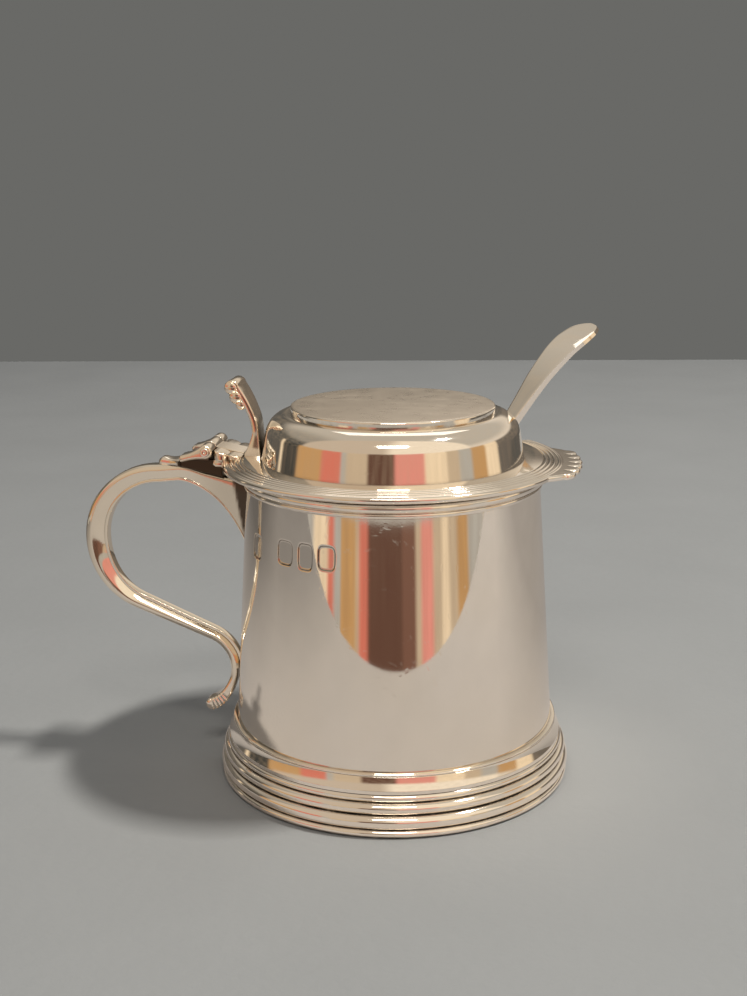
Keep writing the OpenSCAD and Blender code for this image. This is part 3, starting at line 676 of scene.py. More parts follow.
def loop_pair(a):
    """Points at one angle of the loop, which gets thinner on its lower quarter."""
    outer, inner = polar(loop_outer, LOOP_R, a), polar(loop_inner, loop_inner_r, a)
    depth = math.dist(outer, inner)
    return (outer, toward(outer, inner, lerp(depth, DEPTH_RUN, smooth((a - 180) / 90)) / depth))


def turn_pair(a):
    return (polar(turn, TURN_R, a), polar(turn, turn_in, a))


pairs = [root_pair(k / ROOT_STEPS) for k in range(ROOT_STEPS)]
pairs += [loop_pair(lerp(90, 270 + slope, k / LOOP_STEPS)) for k in range(LOOP_STEPS + 1)]
loop_end, turn_start = pairs[-1], turn_pair(90 + slope)
for k in range(1, RUN_STEPS):
    pairs.append(tuple(toward(p, q, k / RUN_STEPS) for p, q in zip(loop_end, turn_start)))
pairs += [turn_pair(lerp(90 + slope, TURN_END, k / TURN_STEPS)) for k in range(TURN_STEPS + 1)]
lengths = [0.0]
for p, q in zip(pairs, pairs[1:]):
    lengths.append(lengths[-1] + math.dist(p[0], q[0]))


def handle_solid(section):
    """A section, which depends on the share of the run and the depth, carried along the handle."""
    rings = []
    for (outer, inner), run in zip(pairs, lengths):
        dx, dz = outer[0] - inner[0], outer[1] - inner[1]
        depth = math.hypot(dx, dz)
        rings.append([(inner[0] + dx / depth * v, u, inner[1] + dz / depth * v)
                      for u, v in section(run / lengths[-1], depth)])
    return Solid().rings(rings)


def roundness(t):
    """The section goes from flat-sided at the upper joint to round-backed on the lower run."""
    return smooth((t - ROUND_FROM) / ROUND_OVER)


def strip_half(t, depth):
    half = lerp(WIDTH_TOP, WIDTH_TURN, t) / 2
    lean = min(SIDE_LEAN * (depth - STRIP), half * LEAN_MOST)
    return lerp(half - lean, half * ROUND_NECK, roundness(t))


def shell_section(t, depth):
    half = lerp(WIDTH_TOP, WIDTH_TURN, t) / 2
    neck = strip_half(t, depth)
    r = lerp(BACK_R, half * BACK_ROUND, roundness(t))
    side = []
    for k in range(SIDE_STEPS + 1):
        s = k / SIDE_STEPS
        bow = lerp(s, math.sin(math.pi / 2 * s), ROUND_BOW * roundness(t))
        side.append((lerp(neck, half, bow), lerp(STRIP, depth - r, s)))
    side += arc((half - r, depth - r), r, 0, 90, BACK_STEPS)[1:]
    return side + [(-u, v) for u, v in reversed(side)]


def strip_section(t, depth):
    half = strip_half(t, depth) + LIP
    return rounded(oblong(-half, 0, half, STRIP), STRIP_ROUND, 3)


# Painted shade beside the drum, dark along the joint and a little darker towards the drum: the joint's
# corner runs from one point to the other
JOINT_LOW = (-25.7, 40.7)
JOINT_HIGH = (-26.9, 48.7)
JOINT_DARK = 0.95
JOINT_SOFT = 0.5
WEB_X = -36
WEB_RUN = 8
WEB_DARK = 0.2


def root_painted_shade(x, y, z):
    """Painted shade beside the drum: dark along the joint and a little darker towards it."""
    if z < root_z or x < root_centre[0]:
        return 0.0
    corner = lerp(JOINT_LOW[0], JOINT_HIGH[0], (z - JOINT_LOW[1]) / (JOINT_HIGH[1] - JOINT_LOW[1]))
    in_joint = smooth((x - corner) / JOINT_SOFT + 0.5)
    return max(JOINT_DARK * in_joint, WEB_DARK * smooth((x - WEB_X) / WEB_RUN))


# The handle's back carries painted shade beside the drum
make("handle_back", handle_solid(shell_section), "pot", "handle_shell", handle_silver, sharp=SWEPT,
     tarnish_and_shade_mark=root_painted_shade)
make("handle_inside", handle_solid(strip_section), "pot", "handle_strip", handle_silver, sharp=SWEPT)

# Tail of the handle: a flaring curl with ribs across its end and a knob
TAIL = 1.7
TAIL_SWEEP = 72
TAIL_STEPS = 120
TAIL_FLARE = 1.0
FLARE_FROM = 0.3
FLARE_OVER = 0.65
FLARE_LIFT = 0.2
FLARE_WIDTH = 1.22
TAIL_START = 0.3
TAIL_INNER = 0.5
TAIL_OUTER = 0.45
TAIL_EASE = 0.5
TAIL_RIBS = 5
RIB_PITCH = 5.5
RIB_DEPTH = 0.12
RIB_SIDE = 0.6
KNOB_OUT = 1.3
KNOB = (1.08, 0.95, 0.6)


def tail_ring(t):
    from_end = (1 - t) * (TAIL_SWEEP + TURN_END)
    rib = 0.0
    if from_end < RIB_PITCH * TAIL_RIBS:
        rib = RIB_DEPTH * (0.5 - 0.5 * math.cos(math.tau * from_end / RIB_PITCH))
    flare = smooth((t - FLARE_FROM) / FLARE_OVER)
    inside = TURN_R + FLARE_LIFT * flare
    outside = TURN_R + TAIL - TAIL_START + TAIL_FLARE * flare - rib
    half = WIDTH_TURN / 2 * lerp(1.0, FLARE_WIDTH, flare) - rib * RIB_SIDE
    r_in = lerp(TAIL - TAIL_INNER, TAIL_INNER, smooth(t / TAIL_EASE))
    r_out = TAIL_OUTER
    a = math.radians(lerp(TURN_END, -TAIL_SWEEP, t))
    side = arc((half - r_out, outside - r_out), r_out, 90, 0, 6)
    side += arc((half - r_in, inside + r_in), r_in, 0, -90, 6)
    line = side + [(-u, r) for u, r in reversed(side)]
    return [(turn[0] + r * math.cos(a), u, turn[1] + r * math.sin(a)) for u, r in line]


tail = Solid().rings([tail_ring(k / TAIL_STEPS) for k in range(TAIL_STEPS + 1)])
tail.turned_on_y(roll(*KNOB), *polar(turn, TURN_R + KNOB_OUT, -TAIL_SWEEP), columns=40)
make("handle_curl", tail, "pot", "handle_tail", cast_silver, sharp=SWEPT)

# Hinge: bearer with lugs, cheeks and tongue
SEAT_Z = box_end("hinge_bearer", LOW)
HINGE_HALF = box_end("hinge_bearer", HIGH, "y")
KNUCKLE = 1.5
KNUCKLE_HALF = 2.3
END_PLAY = 0.15
PIN_R = 0.75
BEARER_HALF = 3.1
BLOCK_TOP = HINGE_Z - KNUCKLE - 0.25
BLOCK_BACK = HINGE_X - 5.4
BLOCK_FRONT = HINGE_X + KNUCKLE + 0.6
BLOCK_DROP = 1.8
BLOCK_HALF = 2.6
# How dark the painted shade is on the block under the lugs, and where it ends
BLOCK_PAINTED_SHADE = 0.97
DARK_BACK = BLOCK_BACK - 0.1
DARK_TOP = BLOCK_TOP + 0.05
LUG_R = 1.2
LUG_TAIL = 3.9
LUG_TIP = 0.6
LUG_TIP_DROP = 1.2
LUG_FROM = -98
LUG_TO = 112
LUG_HOLLOW = 0.28
LUG_HOLLOW_UNDER = 0.18
LUG_BEVEL = 0.42
CHEEK_SUNK = 0.3
CHEEK_DROP = 0.6
CHEEK_BEVEL = 0.1
TONGUE = 4.2
TONGUE_TIP = 1.1
TONGUE_TURN = 100
TONGUE_LAP = 0.3
TONGUE_IN = 0.2
TONGUE_BOW = 0.3
TONGUE_LONG = 3.0
TONGUE_WIDE = 2.2
BEAD_RUN = 0.9
# Rows of inset, rise and bead for the tongue's levels, from below
TONGUE_LEVELS = [(0, -0.15, 0), (0, 0.45, 0.15), (0.14, 0.66, 0.3), (0.5, 0.78, 0.42), (1.2, 0.8, 0.5)]
lug_in = KNUCKLE_HALF + END_PLAY
lug_head = arc((HINGE_X, HINGE_Z), LUG_R, LUG_FROM, LUG_TO, 26)
lug_tip = arc((HINGE_X - LUG_TAIL, HINGE_Z - LUG_TIP_DROP), LUG_TIP, LUG_TO, LUG_FROM + 360, 14)
lug_line = lug_head + bowed(lug_head[-1], lug_tip[0], LUG_HOLLOW) + lug_tip
lug_line += bowed(lug_tip[-1], lug_head[0], LUG_HOLLOW_UNDER)
block_line = [(BLOCK_BACK, SEAT_Z), (BLOCK_FRONT, SEAT_Z - BLOCK_DROP), (BLOCK_FRONT, BLOCK_TOP),
              (BLOCK_BACK, BLOCK_TOP)]
cheek_line = oblong(HINGE_X - LUG_TAIL, BLOCK_TOP - CHEEK_SUNK, HINGE_X, HINGE_Z - CHEEK_DROP)
bearer = Solid().prism(rounded(block_line, SOFT_EDGE), -BLOCK_HALF, BLOCK_HALF, SOFT_EDGE)
bearer.prisms(lug_line, lug_in, HINGE_HALF, LUG_BEVEL, 5)
bearer.prisms(rounded(cheek_line, SOFT_EDGE), lug_in - CHEEK_SUNK, BEARER_HALF, CHEEK_BEVEL)
tip_x = BLOCK_BACK - TONGUE + TONGUE_TIP
tongue_root = (BLOCK_BACK + TONGUE_LAP, BEARER_HALF - TONGUE_IN)
tongue_side = [tongue_root] + bowed(tongue_root, polar((tip_x, 0), TONGUE_TIP, TONGUE_TURN), TONGUE_BOW)
tongue_line = tongue_side + arc((tip_x, 0), TONGUE_TIP, TONGUE_TURN, 360 - TONGUE_TURN, 20)
tongue_line += [(x, -y) for x, y in reversed(tongue_side)]


def handle_top_z(x):
    """Height of the handle's upper outline at x."""
    for (p, _), (q, _) in zip(pairs, pairs[1:]):
        if q[0] <= x <= p[0]:
            return lerp(p[1], q[1], (x - p[0]) / (q[0] - p[0]))
    return HANDLE_TOP


def tongue_level(inset, rise, bead):
    middle = BLOCK_BACK - TONGUE / 2
    ring = []
    for x, y in tongue_line:
        x = middle + (x - middle) * (1 - inset / TONGUE_LONG)
        swell = bead * math.exp(-((x - tip_x) / BEAD_RUN) ** 2)
        ring.append((x, y * (1 - inset / TONGUE_WIDE), handle_top_z(x) + rise + swell))
    return ring


def painted_shade_under_lugs(x, y, z):
    """Painted shade: the block below the lugs is coloured dark, as the shadow under them."""
    return BLOCK_PAINTED_SHADE if x > DARK_BACK and z < DARK_TOP else 0.0


bearer.rings([tongue_level(*row) for row in TONGUE_LEVELS])
make("hinge_lugs", bearer, "pot", "hinge_bearer", cast_silver, tarnish_and_shade_mark=painted_shade_under_lugs)

PIN_HALF = HINGE_HALF + 0.2
PIN_ROUND = 0.25
pin_line = rounded(oblong(0, -PIN_HALF, PIN_R, PIN_HALF), PIN_ROUND)
pin = Solid().turned_on_y(pin_line, HINGE_X, HINGE_Z, columns=48)
make("hinge_rivet", pin, "pot", "hinge_pin", body_silver)

# Lid's leaf: knuckle, neck, a plate with lobed sides and two lumps under it
LEAF_Z = box_end("lid_leaf", LOW)
LEAF_FRONT = box_end("lid_leaf", HIGH, "x")
LEAF_HALF = box_end("lid_leaf", HIGH, "y")
LEAF_BACK = HINGE_X + LUG_R + 0.25
LEAF = 1.0
LEAF_RISE = 0.95
LEAF_LOBES = 2
LEAF_NICK = 0.55
LEAF_POWER = 1.5
LEAF_DIP = 0.16
LEAF_ROUND = 0.35
LEAF_STEPS = 40
KNUCKLE_ROUND = 0.12
PIN_PLAY = 0.04
NECK_BEVEL = 0.1
LUMP_LOW = 52.95
LUMP_FRONT = -27.6
LUMP_TOP = LEAF_Z + 0.4
LUMP_IN, LUMP_OUT = 2.8, 5.3
LUMP_ROUND = 0.5
LUMP_BEVEL = 0.35
knuckle_line = rounded(oblong(PIN_R + PIN_PLAY, -KNUCKLE_HALF, LUG_R, KNUCKLE_HALF), KNUCKLE_ROUND)
neck_line = [(HINGE_X + 0.8, HINGE_Z - 0.6), (LEAF_BACK + 0.6, LEAF_Z), (LEAF_FRONT, LEAF_Z),
             (LEAF_FRONT, LEAF_Z + LEAF), (HINGE_X + 0.9, HINGE_Z + 0.42)]
lump_line = [(HINGE_X + 1.1, LUMP_LOW + 0.4), (HINGE_X + 1.7, LUMP_LOW), (LUMP_FRONT, LUMP_LOW),
             (LUMP_FRONT, LUMP_TOP), (HINGE_X + 1.4, LUMP_TOP)]


def leaf_ring(t):
    wave = abs(math.sin(math.pi * LEAF_LOBES * t))
    half = LEAF_HALF - LEAF_NICK * (1 - wave) ** LEAF_POWER
    top = LEAF_Z + LEAF + LEAF_RISE * (1 - t) ** LEAF_POWER - LEAF_DIP * (1 - wave) ** 2
    line = rounded(oblong(-half, LEAF_Z, half, top), LEAF_ROUND, 5)
    return [(lerp(LEAF_BACK, LEAF_FRONT, t), u, v) for u, v in line]


leaf = Solid().turned_on_y(knuckle_line, HINGE_X, HINGE_Z, columns=64)
leaf.prism(rounded(neck_line, SOFT_EDGE), -KNUCKLE_HALF, KNUCKLE_HALF, NECK_BEVEL)
leaf.rings([leaf_ring(k / LEAF_STEPS) for k in range(LEAF_STEPS + 1)])
leaf.prisms(rounded(lump_line, LUMP_ROUND, 6), LUMP_IN, LUMP_OUT, LUMP_BEVEL, 4)
make("lid_hinge_leaf", leaf, "lid", "lid_leaf", cast_silver)

# Lid: flange with reeds and slot
FLANGE_EDGE = 0.55
EDGE_Z = 53.1
EDGE_FROM = -83
FLAT_EDGE = [(0, SOFT_EDGE), (0.06, 0.03), (SOFT_EDGE, 0)]
REEDS = 4
REED = 0.36
REED_R = 0.3816
REED_POINTS = 40
edge_mid = EDGE_Z + FLANGE_EDGE
edge_top = EDGE_Z + FLANGE_EDGE * 2
edge_centre = (FLANGE_R - FLANGE_EDGE, edge_mid)
flat_r = FLANGE_R - FLANGE_EDGE - REEDS * REED * 2
members = [(edge_centre, FLANGE_EDGE)]
for k in range(REEDS):
    reed_z = lerp(FLANGE_TOP, edge_top, (k + 0.5) / REEDS) - REED
    members.append(((flat_r + REED * (2 * k + 1), reed_z), REED_R))


def covered(point, own):
    """Whether another member of the flange's top lies above a point of this one."""
    for k, (centre, radius) in enumerate(members):
        off = abs(point[0] - centre[0])
        if k != own and off < radius and centre[1] + math.sqrt(radius ** 2 - off ** 2) > point[1]:
            return True
    return False


top_rows = []
for k, (centre, radius) in enumerate(members):
    for j in range(1, REED_POINTS):
        p = polar(centre, radius, 180 * j / REED_POINTS)
        if p[0] > flat_r and not covered(p, k):
            top_rows.append(p)
top_rows.sort(key=lambda p: -p[0])
flange_line = [(DOME_IN, LID_Z), (MOUTH_R + MOUTH_STEP, LID_Z)]
flange_line += arc(edge_centre, FLANGE_EDGE, EDGE_FROM, 0, 10) + top_rows
flange_line += [(flat_r - inset, FLANGE_TOP - drop) for inset, drop in FLAT_EDGE]
flange_line += [(DOME_IN, FLANGE_TOP)]
flange = Solid().turned_with_slot(flange_line)

# Peak on the flange: scalloped edge with a flute between each two lobes
PEAK = 2.9
PEAK_THICK = 0.95
PEAK_NOSE = 0.42
LOBES = 6
PITCH = 6.0
LOBE = 1.65
VALLEY = 0.55
FLUTE = 0.22
FLUTE_WIDTH = 0.12
FLUTE_LENGTH = 1.5
FLANK = 13.0
PEAK_ROOT = FLANGE_R - 1.6
FLANK_ROOT = 0.8
ACROSS = 192
ALONG = 18
ALONG_POWER = 1.6
lobe_mid = FLANGE_R + PEAK - LOBE
peak_half = PITCH * (LOBES - 1) / 2
peak_end = peak_half + FLANK


def peak_reach(degrees):
    """How far the scalloped edge lies out along a ray."""
    best = 0.0
    for k in range(LOBES):
        d = math.radians(degrees - (PITCH * k - peak_half))
        off = lobe_mid * math.sin(d)
        if abs(off) < LOBE:
            best = max(best, lobe_mid * math.cos(d) + math.sqrt(LOBE ** 2 - off * off))
    flank = 1 - smooth((abs(degrees) - peak_half) / FLANK)
    return max(best, lerp(PEAK_ROOT + FLANK_ROOT, lobe_mid + LOBE * VALLEY, flank))


def peak_ring(degrees):
    reach = peak_reach(degrees)
    a = math.radians(degrees)
    off = abs((degrees + peak_half) / PITCH % 1 - 0.5)
    flute = FLUTE * math.exp(-(off / FLUTE_WIDTH) ** 2) if abs(degrees) < peak_half else 0.0
    upper, lower = [], []
    for j in range(ALONG + 1):
        r = lerp(PEAK_ROOT, reach, 1 - (1 - j / ALONG) ** ALONG_POWER)
        nose = max(0.0, (r - reach) / PEAK_NOSE + 1)
        round_off = math.sqrt(max(0.0, 1 - nose ** 2))
        half = PEAK_THICK / 2 * round_off
        cut = flute * smooth((r - reach) / FLUTE_LENGTH + 1) * round_off
        upper.append(around(r, a, edge_mid + half - cut))
        lower.append(around(r, a, edge_mid - half))
    return upper + lower[-2::-1]


flange.rings([peak_ring(lerp(-peak_end, peak_end, k / ACROSS)) for k in range(ACROSS + 1)])
make("lid_rim", flange, "lid", "lid_flange", body_silver, sharp=REEDED)

# Dome, the plate on it and the bezel under the flange
DOME_LEAN = 0.7
SHOULDER = 3.75
DOME_RING = 8
shoulder = (DOME_R - DOME_LEAN - SHOULDER, DOME_TOP - SHOULDER)
foot_gap = (DOME_R - shoulder[0], FLANGE_TOP - shoulder[1])
tangent = math.degrees(math.atan2(foot_gap[1], foot_gap[0])
                       + math.acos(SHOULDER / math.hypot(*foot_gap)))
dome_line = [(DOME_R, FLANGE_TOP)] + arc(shoulder, SHOULDER, tangent, 90, steps=26)
dome_line += [(DOME_RING, DOME_TOP), (0, DOME_TOP), (0, DOME_TOP - DOME_SHEET)]
dome_line += arc(shoulder, SHOULDER - DOME_SHEET, 90, 0, steps=14)
dome_line += [(DOME_IN, FLANGE_TOP)]
make("lid_cover", Solid().turned(dome_line), "lid", "lid_dome", body_silver)

PLATE_R = box_end("lid_top_plate", HIGH, "x")
PLATE_TOP = box_end("lid_top_plate", HIGH)
PLATE_EDGE = 0.3
PLATE_EDGE_TURN = 84
CROWN = 0.28
CROWN_ROWS = [0.96, 0.9, 0.8, 0.7, 0.6, 0.45, 0.3, 0.15, 0]
RIM_SLOPE = 0.8
plate_line = [(0, DOME_TOP), (PLATE_R, DOME_TOP)]
plate_line += arc((PLATE_R - PLATE_EDGE, PLATE_TOP - CROWN - PLATE_EDGE), PLATE_EDGE, 0, PLATE_EDGE_TURN, 6)
plate_line += [(PLATE_R * t, PLATE_TOP - CROWN * t * t) for t in CROWN_ROWS]
disc = make("lid_disc", Solid().turned(plate_line), "lid", "lid_top_plate", worn_silver)
disc.data.materials.append(body_silver)
for face in disc.data.polygons:
    face.material_index = 1 if abs(face.normal.z) < RIM_SLOPE else 0

BEZEL_R = 23.05
BEZEL_IN = BEZEL_R - 0.8
BEZEL_LOW = box_end("lid_bezel", LOW)
bezel_line = rounded(oblong(BEZEL_IN, BEZEL_LOW, BEZEL_R, LID_Z), SOFT_EDGE)
bezel = Solid().turned_with_slot(bezel_line)
make("lid_bezel_ring", bezel, "lid", "lid_bezel", body_silver)

# Thumbpiece: a strap that rises from a flared foot and ends in a scroll, with rolls on its head
THUMB_FOOT = 3.0
THUMB_WAIST = 1.0
THUMB_HALF = 2.5
THUMB_X = -(DOME_R + THUMB_FOOT / 2)
SCROLL_MID = (-3.3, 11.4)
SCROLL_IN = 0.95
SCROLL_END = 0.35
SCROLL_POWER = 0.9
SCROLL_STEPS = 13
SCROLL_STEP = 36
SCROLL_SHEET = 0.9
SCROLL_SHEET_END = 0.45
SCROLL_WIDTH = 1.16
STRAP_ROUND = 0.3
STRAP_ROUND_MOST = 0.6
FOOT_LEVEL = 9
# Rows of place, radius, half length and dome
HEAD_ROLLS = [
    (SCROLL_MID, 1.15, 2.6, 0.5),
    ((-2.55, 9.85), 1.15, 2.5, 0.5),
    ((-1.8, 8.55), 0.9, 2.35, 0.45),
]
# Rows of place, height above the flange, thickness and share of the width
strap_rows = [
    (0, 0, THUMB_FOOT, 1.2),
    (0.26, 1.5, (THUMB_FOOT + THUMB_WAIST) / 2, 1.04),
    (0.47, 3.7, 1.15, 0.95),
    (0.15, 6.0, 1.1, 0.97),
    (-0.75, 8.4, 1.05, 1.06),
    (-1.6, 10.1, THUMB_WAIST, 1.12),
    (SCROLL_MID[0] + SCROLL_IN, SCROLL_MID[1], SCROLL_SHEET, 1.14),
]
for k in range(1, SCROLL_STEPS + 1):
    t = k / SCROLL_STEPS
    x, z = polar(SCROLL_MID, lerp(SCROLL_IN, SCROLL_END, t ** SCROLL_POWER), SCROLL_STEP * k)
    strap_rows.append((x, z, lerp(SCROLL_SHEET, SCROLL_SHEET_END, t), SCROLL_WIDTH))
strap = through(strap_rows, steps=6)


def strap_ring(i):
    """A section of the strap, level at the foot and square to the curve above it."""
    before, after = strap[max(0, i - 1)], strap[min(len(strap) - 1, i + 1)]
    dx, dz = (after[0] - before[0]) * min(1, i / FOOT_LEVEL), after[1] - before[1]
    length = math.hypot(dx, dz)
    nx, nz = -dz / length, dx / length
    x, z, sheet, share = strap[i]
    wide, thick = THUMB_HALF * share, sheet / 2
    line = rounded(oblong(-wide, -thick, wide, thick), min(STRAP_ROUND, thick * STRAP_ROUND_MOST), 3)
    return [(THUMB_X + x + nx * v, u, FLANGE_TOP + z + nz * v) for u, v in line]


thumb = Solid().rings([strap_ring(i) for i in range(len(strap))])
for (x, z), r, half, dome in HEAD_ROLLS:
    thumb.turned_on_y(roll(r, half, dome), THUMB_X + x, FLANGE_TOP + z, columns=32)
make("thumb_scroll", thumb, "lid", "thumbpiece", cast_silver, sharp=SWEPT)

# Glass liner
LINER_R = box_end("glass_liner", HIGH, "x")
LINER_LOW = box_end("glass_liner", LOW)
LINER_IN = LINER_R - 1.5
LINER_FLOOR = LINER_LOW + 2.6
LINER_TOP = 49.55
LINER_FOOT = 1.2
LINER_LIP = 0.75
LINER_HOLLOW = 2.5
LINER_ROWS = [15, 30]
liner_line = [(0, LINER_LOW)] + arc((LINER_R - LINER_FOOT, LINER_LOW + LINER_FOOT), LINER_FOOT, -90, 0, 8)
liner_line += [(LINER_R, z) for z in LINER_ROWS]
liner_line += arc((LINER_R - LINER_LIP, LINER_TOP - LINER_LIP), LINER_LIP, 0, 180, 12)
liner_line += [(LINER_IN, z) for z in reversed(LINER_ROWS)]
liner_line += arc((LINER_IN - LINER_HOLLOW, LINER_FLOOR + LINER_HOLLOW), LINER_HOLLOW, 0, -90, 10)
liner_line += [(0, LINER_FLOOR)]
make("liner_cup", Solid().turned(liner_line), "liner", "glass_liner", blue_glass)

# Spoon: rows of station, width, thickness, dish and offset, from the bowl's tip to the handle's end
SPOON_IN = 64.055
SPOON_OUT = 29.7
SPOON_TRIM = 0.1
STEM_R = 22.5797
STEM_Z = 53.4329
STEM_WIDTH = 2.8
STEM = 1.7
END_WIDTH = 7.2
TIP_WIDTH = 0.6
BEND = 4.1
BEND_FROM = 0.35 * SPOON_OUT
BEND_POWER = 2.5
BOWL = 20.0
BOWL_WIDTH = 12.6
DISH = 3.0
BOWL_SHEET = 0.9
CRANK = 0.4
EDGE_SHARE = 0.8
SPOON_SIDE = 18


def bend(s):
    return -BEND * (max(0.0, s - BEND_FROM) / (SPOON_OUT - BEND_FROM)) ** BEND_POWER


def in_bowl(part, wide, deep):
    return (part * BOWL - SPOON_IN, wide * BOWL_WIDTH, BOWL_SHEET, deep * DISH, -CRANK)


def on_neck(part, wide, thick, crank):
    return (part * BOWL - SPOON_IN, wide * STEM_WIDTH, thick * STEM, 0, -crank * CRANK)


def on_handle(part, wide):
    s = part * SPOON_OUT
    return (s, lerp(STEM_WIDTH, END_WIDTH, wide), lerp(STEM, BOWL_SHEET, part), 0, bend(s))


def spoon_point(s, u, v):
    """A point at station s on the stem's line, u to its side and v above it."""
    r = STEM_R + s * math.cos(SPOON_LEAN) - v * math.sin(SPOON_LEAN)
    z = STEM_Z + s * math.sin(SPOON_LEAN) + v * math.cos(SPOON_LEAN)
    c, n = math.cos(SPOON_AZIMUTH), math.sin(SPOON_AZIMUTH)
    return (r * c - u * n, r * n + u * c, z)


def spoon_ring(s, wide, thick, dish, off):
    ring = []
    for side in (1, -1):
        for k in range(SPOON_SIDE + 1):
            u = side * (1 - k * 2 / SPOON_SIDE)
            half = thick / 2 * lerp(EDGE_SHARE, 1, math.sqrt(max(0.0, 1 - u ** 4)))
            ring.append(spoon_point(s, u * wide / 2, off - dish * (1 - u * u) + side * half))
    return ring


spoon_end = SPOON_OUT - SPOON_TRIM
spoon_rows = [
    in_bowl(0, 0.12, 0.02), in_bowl(0.03, 0.38, 0.12), in_bowl(0.14, 0.74, 0.5), in_bowl(0.34, 0.98, 0.94),
    in_bowl(0.55, 1, 1), in_bowl(0.78, 0.74, 0.66), in_bowl(0.92, 0.42, 0.22),
    on_neck(1.05, 1.15, 1, 0.9), on_neck(1.35, 0.95, 1.1, 0.4), on_neck(1.8, 0.9, 1.05, 0),
    on_handle(0, 0), on_handle(0.3, 0.2), on_handle(0.5, 0.5), on_handle(0.7, 0.82), on_handle(0.82, 1),
    on_handle(0.9, 0.93), on_handle(0.945, 0.7), on_handle(0.972, 0.38), on_handle(0.987, 0.02),
    (spoon_end, TIP_WIDTH, BOWL_SHEET, 0, bend(spoon_end)),
]
spoon = Solid().rings([spoon_ring(*row) for row in through(spoon_rows, steps=9)])
make("mustard_spoon", spoon, "spoon", "spoon", body_silver, sharp=SWEPT)

# Stage, in metres: a pale table top for the camera, and a nearer one that only the silver mirrors
TABLE = (0.382, 0.387, 0.382)
# The table the silver mirrors is painted lighter than the camera's table, as painted light, with painted
# shade towards the back and the left
TABLE_NEAR = (0.56, 0.525, 0.50)
TABLE_DRIFT = 0.95
FAR_SHADE = 0.35
FAR_FROM, FAR_TO = -0.02, 0.08
LEFT_SHADE = 0.3
LEFT_FROM, LEFT_TO = -0.08, -0.2
BLACK = (0.0, 0.0, 0.0)
REACH = 3.0
BACK = 0.490
BACK_SLOPE = 0.112
FLOOR_Z = -0.02 * MM
NEAR_Z = -0.01 * MM
NEAR_HALF = 0.36
NEAR_BACK = 0.30
NEAR_FRONT = -0.135
NEAR_SLOPE = 0.18


def table_material(name, pale, far_shade=0.0, left_shade=0.0):
    """Pale table top with patches and grit, dimmer towards the back and the left if asked."""
    material, n = new_material(name)
    place = n.place()
    patch = n.noise(place, scale=25.0)
    grit = n.noise(place, scale=420.0, detail=4.0)
    colour = n.mix(n.spread(patch, *MIDDLE), pale, tuple(c * TABLE_DRIFT for c in pale))
    spot = n.add("ShaderNodeSeparateXYZ", {0: place}).outputs
    # Painted shade towards the back and the left
    dim = n.math("ADD", n.spread(spot["Y"], FAR_FROM, FAR_TO, 0.0, far_shade),
                 n.spread(spot["X"], LEFT_FROM, LEFT_TO, 0.0, left_shade))
    shade(n, {
        "Base Color": n.mix(dim, colour, BLACK), "Roughness": 0.75, "Specular IOR Level": 0.0,
        "Normal": n.bump(grit, strength=0.35, distance=0.4)})
    return material


def table(name, corners, material, z):
    mesh = bpy.data.meshes.new(name)
    mesh.from_pydata([(x, y, z) for x, y in corners], [], [(0, 1, 2, 3)])
    mesh.materials.append(material)
    obj = new_object(name, mesh)
    return obj


back_drop = BACK_SLOPE * REACH
floor = table("floor", [
    (-REACH, -REACH), (REACH, -REACH), (REACH, BACK + back_drop), (-REACH, BACK - back_drop),
], table_material("table_top", TABLE), FLOOR_Z)
floor.visible_glossy = False
near_drop = NEAR_SLOPE * NEAR_HALF
floor_near = table("floor_near", [
    (-NEAR_HALF, NEAR_FRONT - near_drop), (NEAR_HALF, NEAR_FRONT + near_drop),
    (NEAR_HALF, NEAR_BACK), (-NEAR_HALF, NEAR_BACK),
], table_material("table_near", TABLE_NEAR, FAR_SHADE, LEFT_SHADE), NEAR_Z)
for ray in ("camera", "diffuse", "transmission", "shadow"):
    setattr(floor_near, "visible_" + ray, False)

# Surround: a plain wall for the camera, soft grey light, and colours by direction for silver to mirror
WALL = (0.141, 0.141, 0.133)
SOFT_LIGHT = (0.145, 0.152, 0.162)
GREY = (0.48, 0.455, 0.41)
CREAM = (0.95, 0.76, 0.53)
BEIGE = (0.60, 0.47, 0.33)
BROWN = (0.13, 0.065, 0.045)
UMBER = (0.20, 0.10, 0.07)
CLAY = (0.70, 0.20, 0.14)
CORAL = (0.80, 0.31, 0.25)
GOLD = (0.57, 0.33, 0.14)
SHADE = (0.10, 0.095, 0.085)
DARK = (0.05, 0.05, 0.045)
DUSK = (0.15, 0.13, 0.11)
SKY_FRONT_LEFT = (0.58, 0.48, 0.38)
SKY_FRONT_RIGHT = (0.98, 0.855, 0.69)
SKY_BACK_LOW = (0.76, 0.67, 0.56)
SKY_BACK_HIGH = (0.52, 0.475, 0.41)
SKY_BACK_LEFT = (0.33, 0.30, 0.255)
BAND_SOFT = 1.4
HAZE_SPREAD = (0.35, 0.7, 0.0, 0.22)
# Rows of the angle in degrees from the front at which a colour starts, below and at eye level
LOW_BANDS = [
    (-180, GREY), (-54, CREAM), (-42, CLAY), (-37, GREY), (-31, GOLD), (-20, BEIGE), (-17.5, CLAY),
    (-11, BROWN), (14, UMBER), (24, BEIGE), (28, CORAL), (37, BEIGE), (43.5, CREAM), (49, BEIGE),
    (56, GOLD), (65, GREY),
]
EYE_BANDS = [
    (-180, SHADE), (-109, CREAM), (-105, DARK), (-84, GOLD), (-57, CLAY), (-38, GREY), (-33, BEIGE),
    (-14, BROWN), (9, CORAL), (35, CREAM), (55, BEIGE), (67, GREY), (80, GOLD), (96, CREAM), (112, DUSK),
]
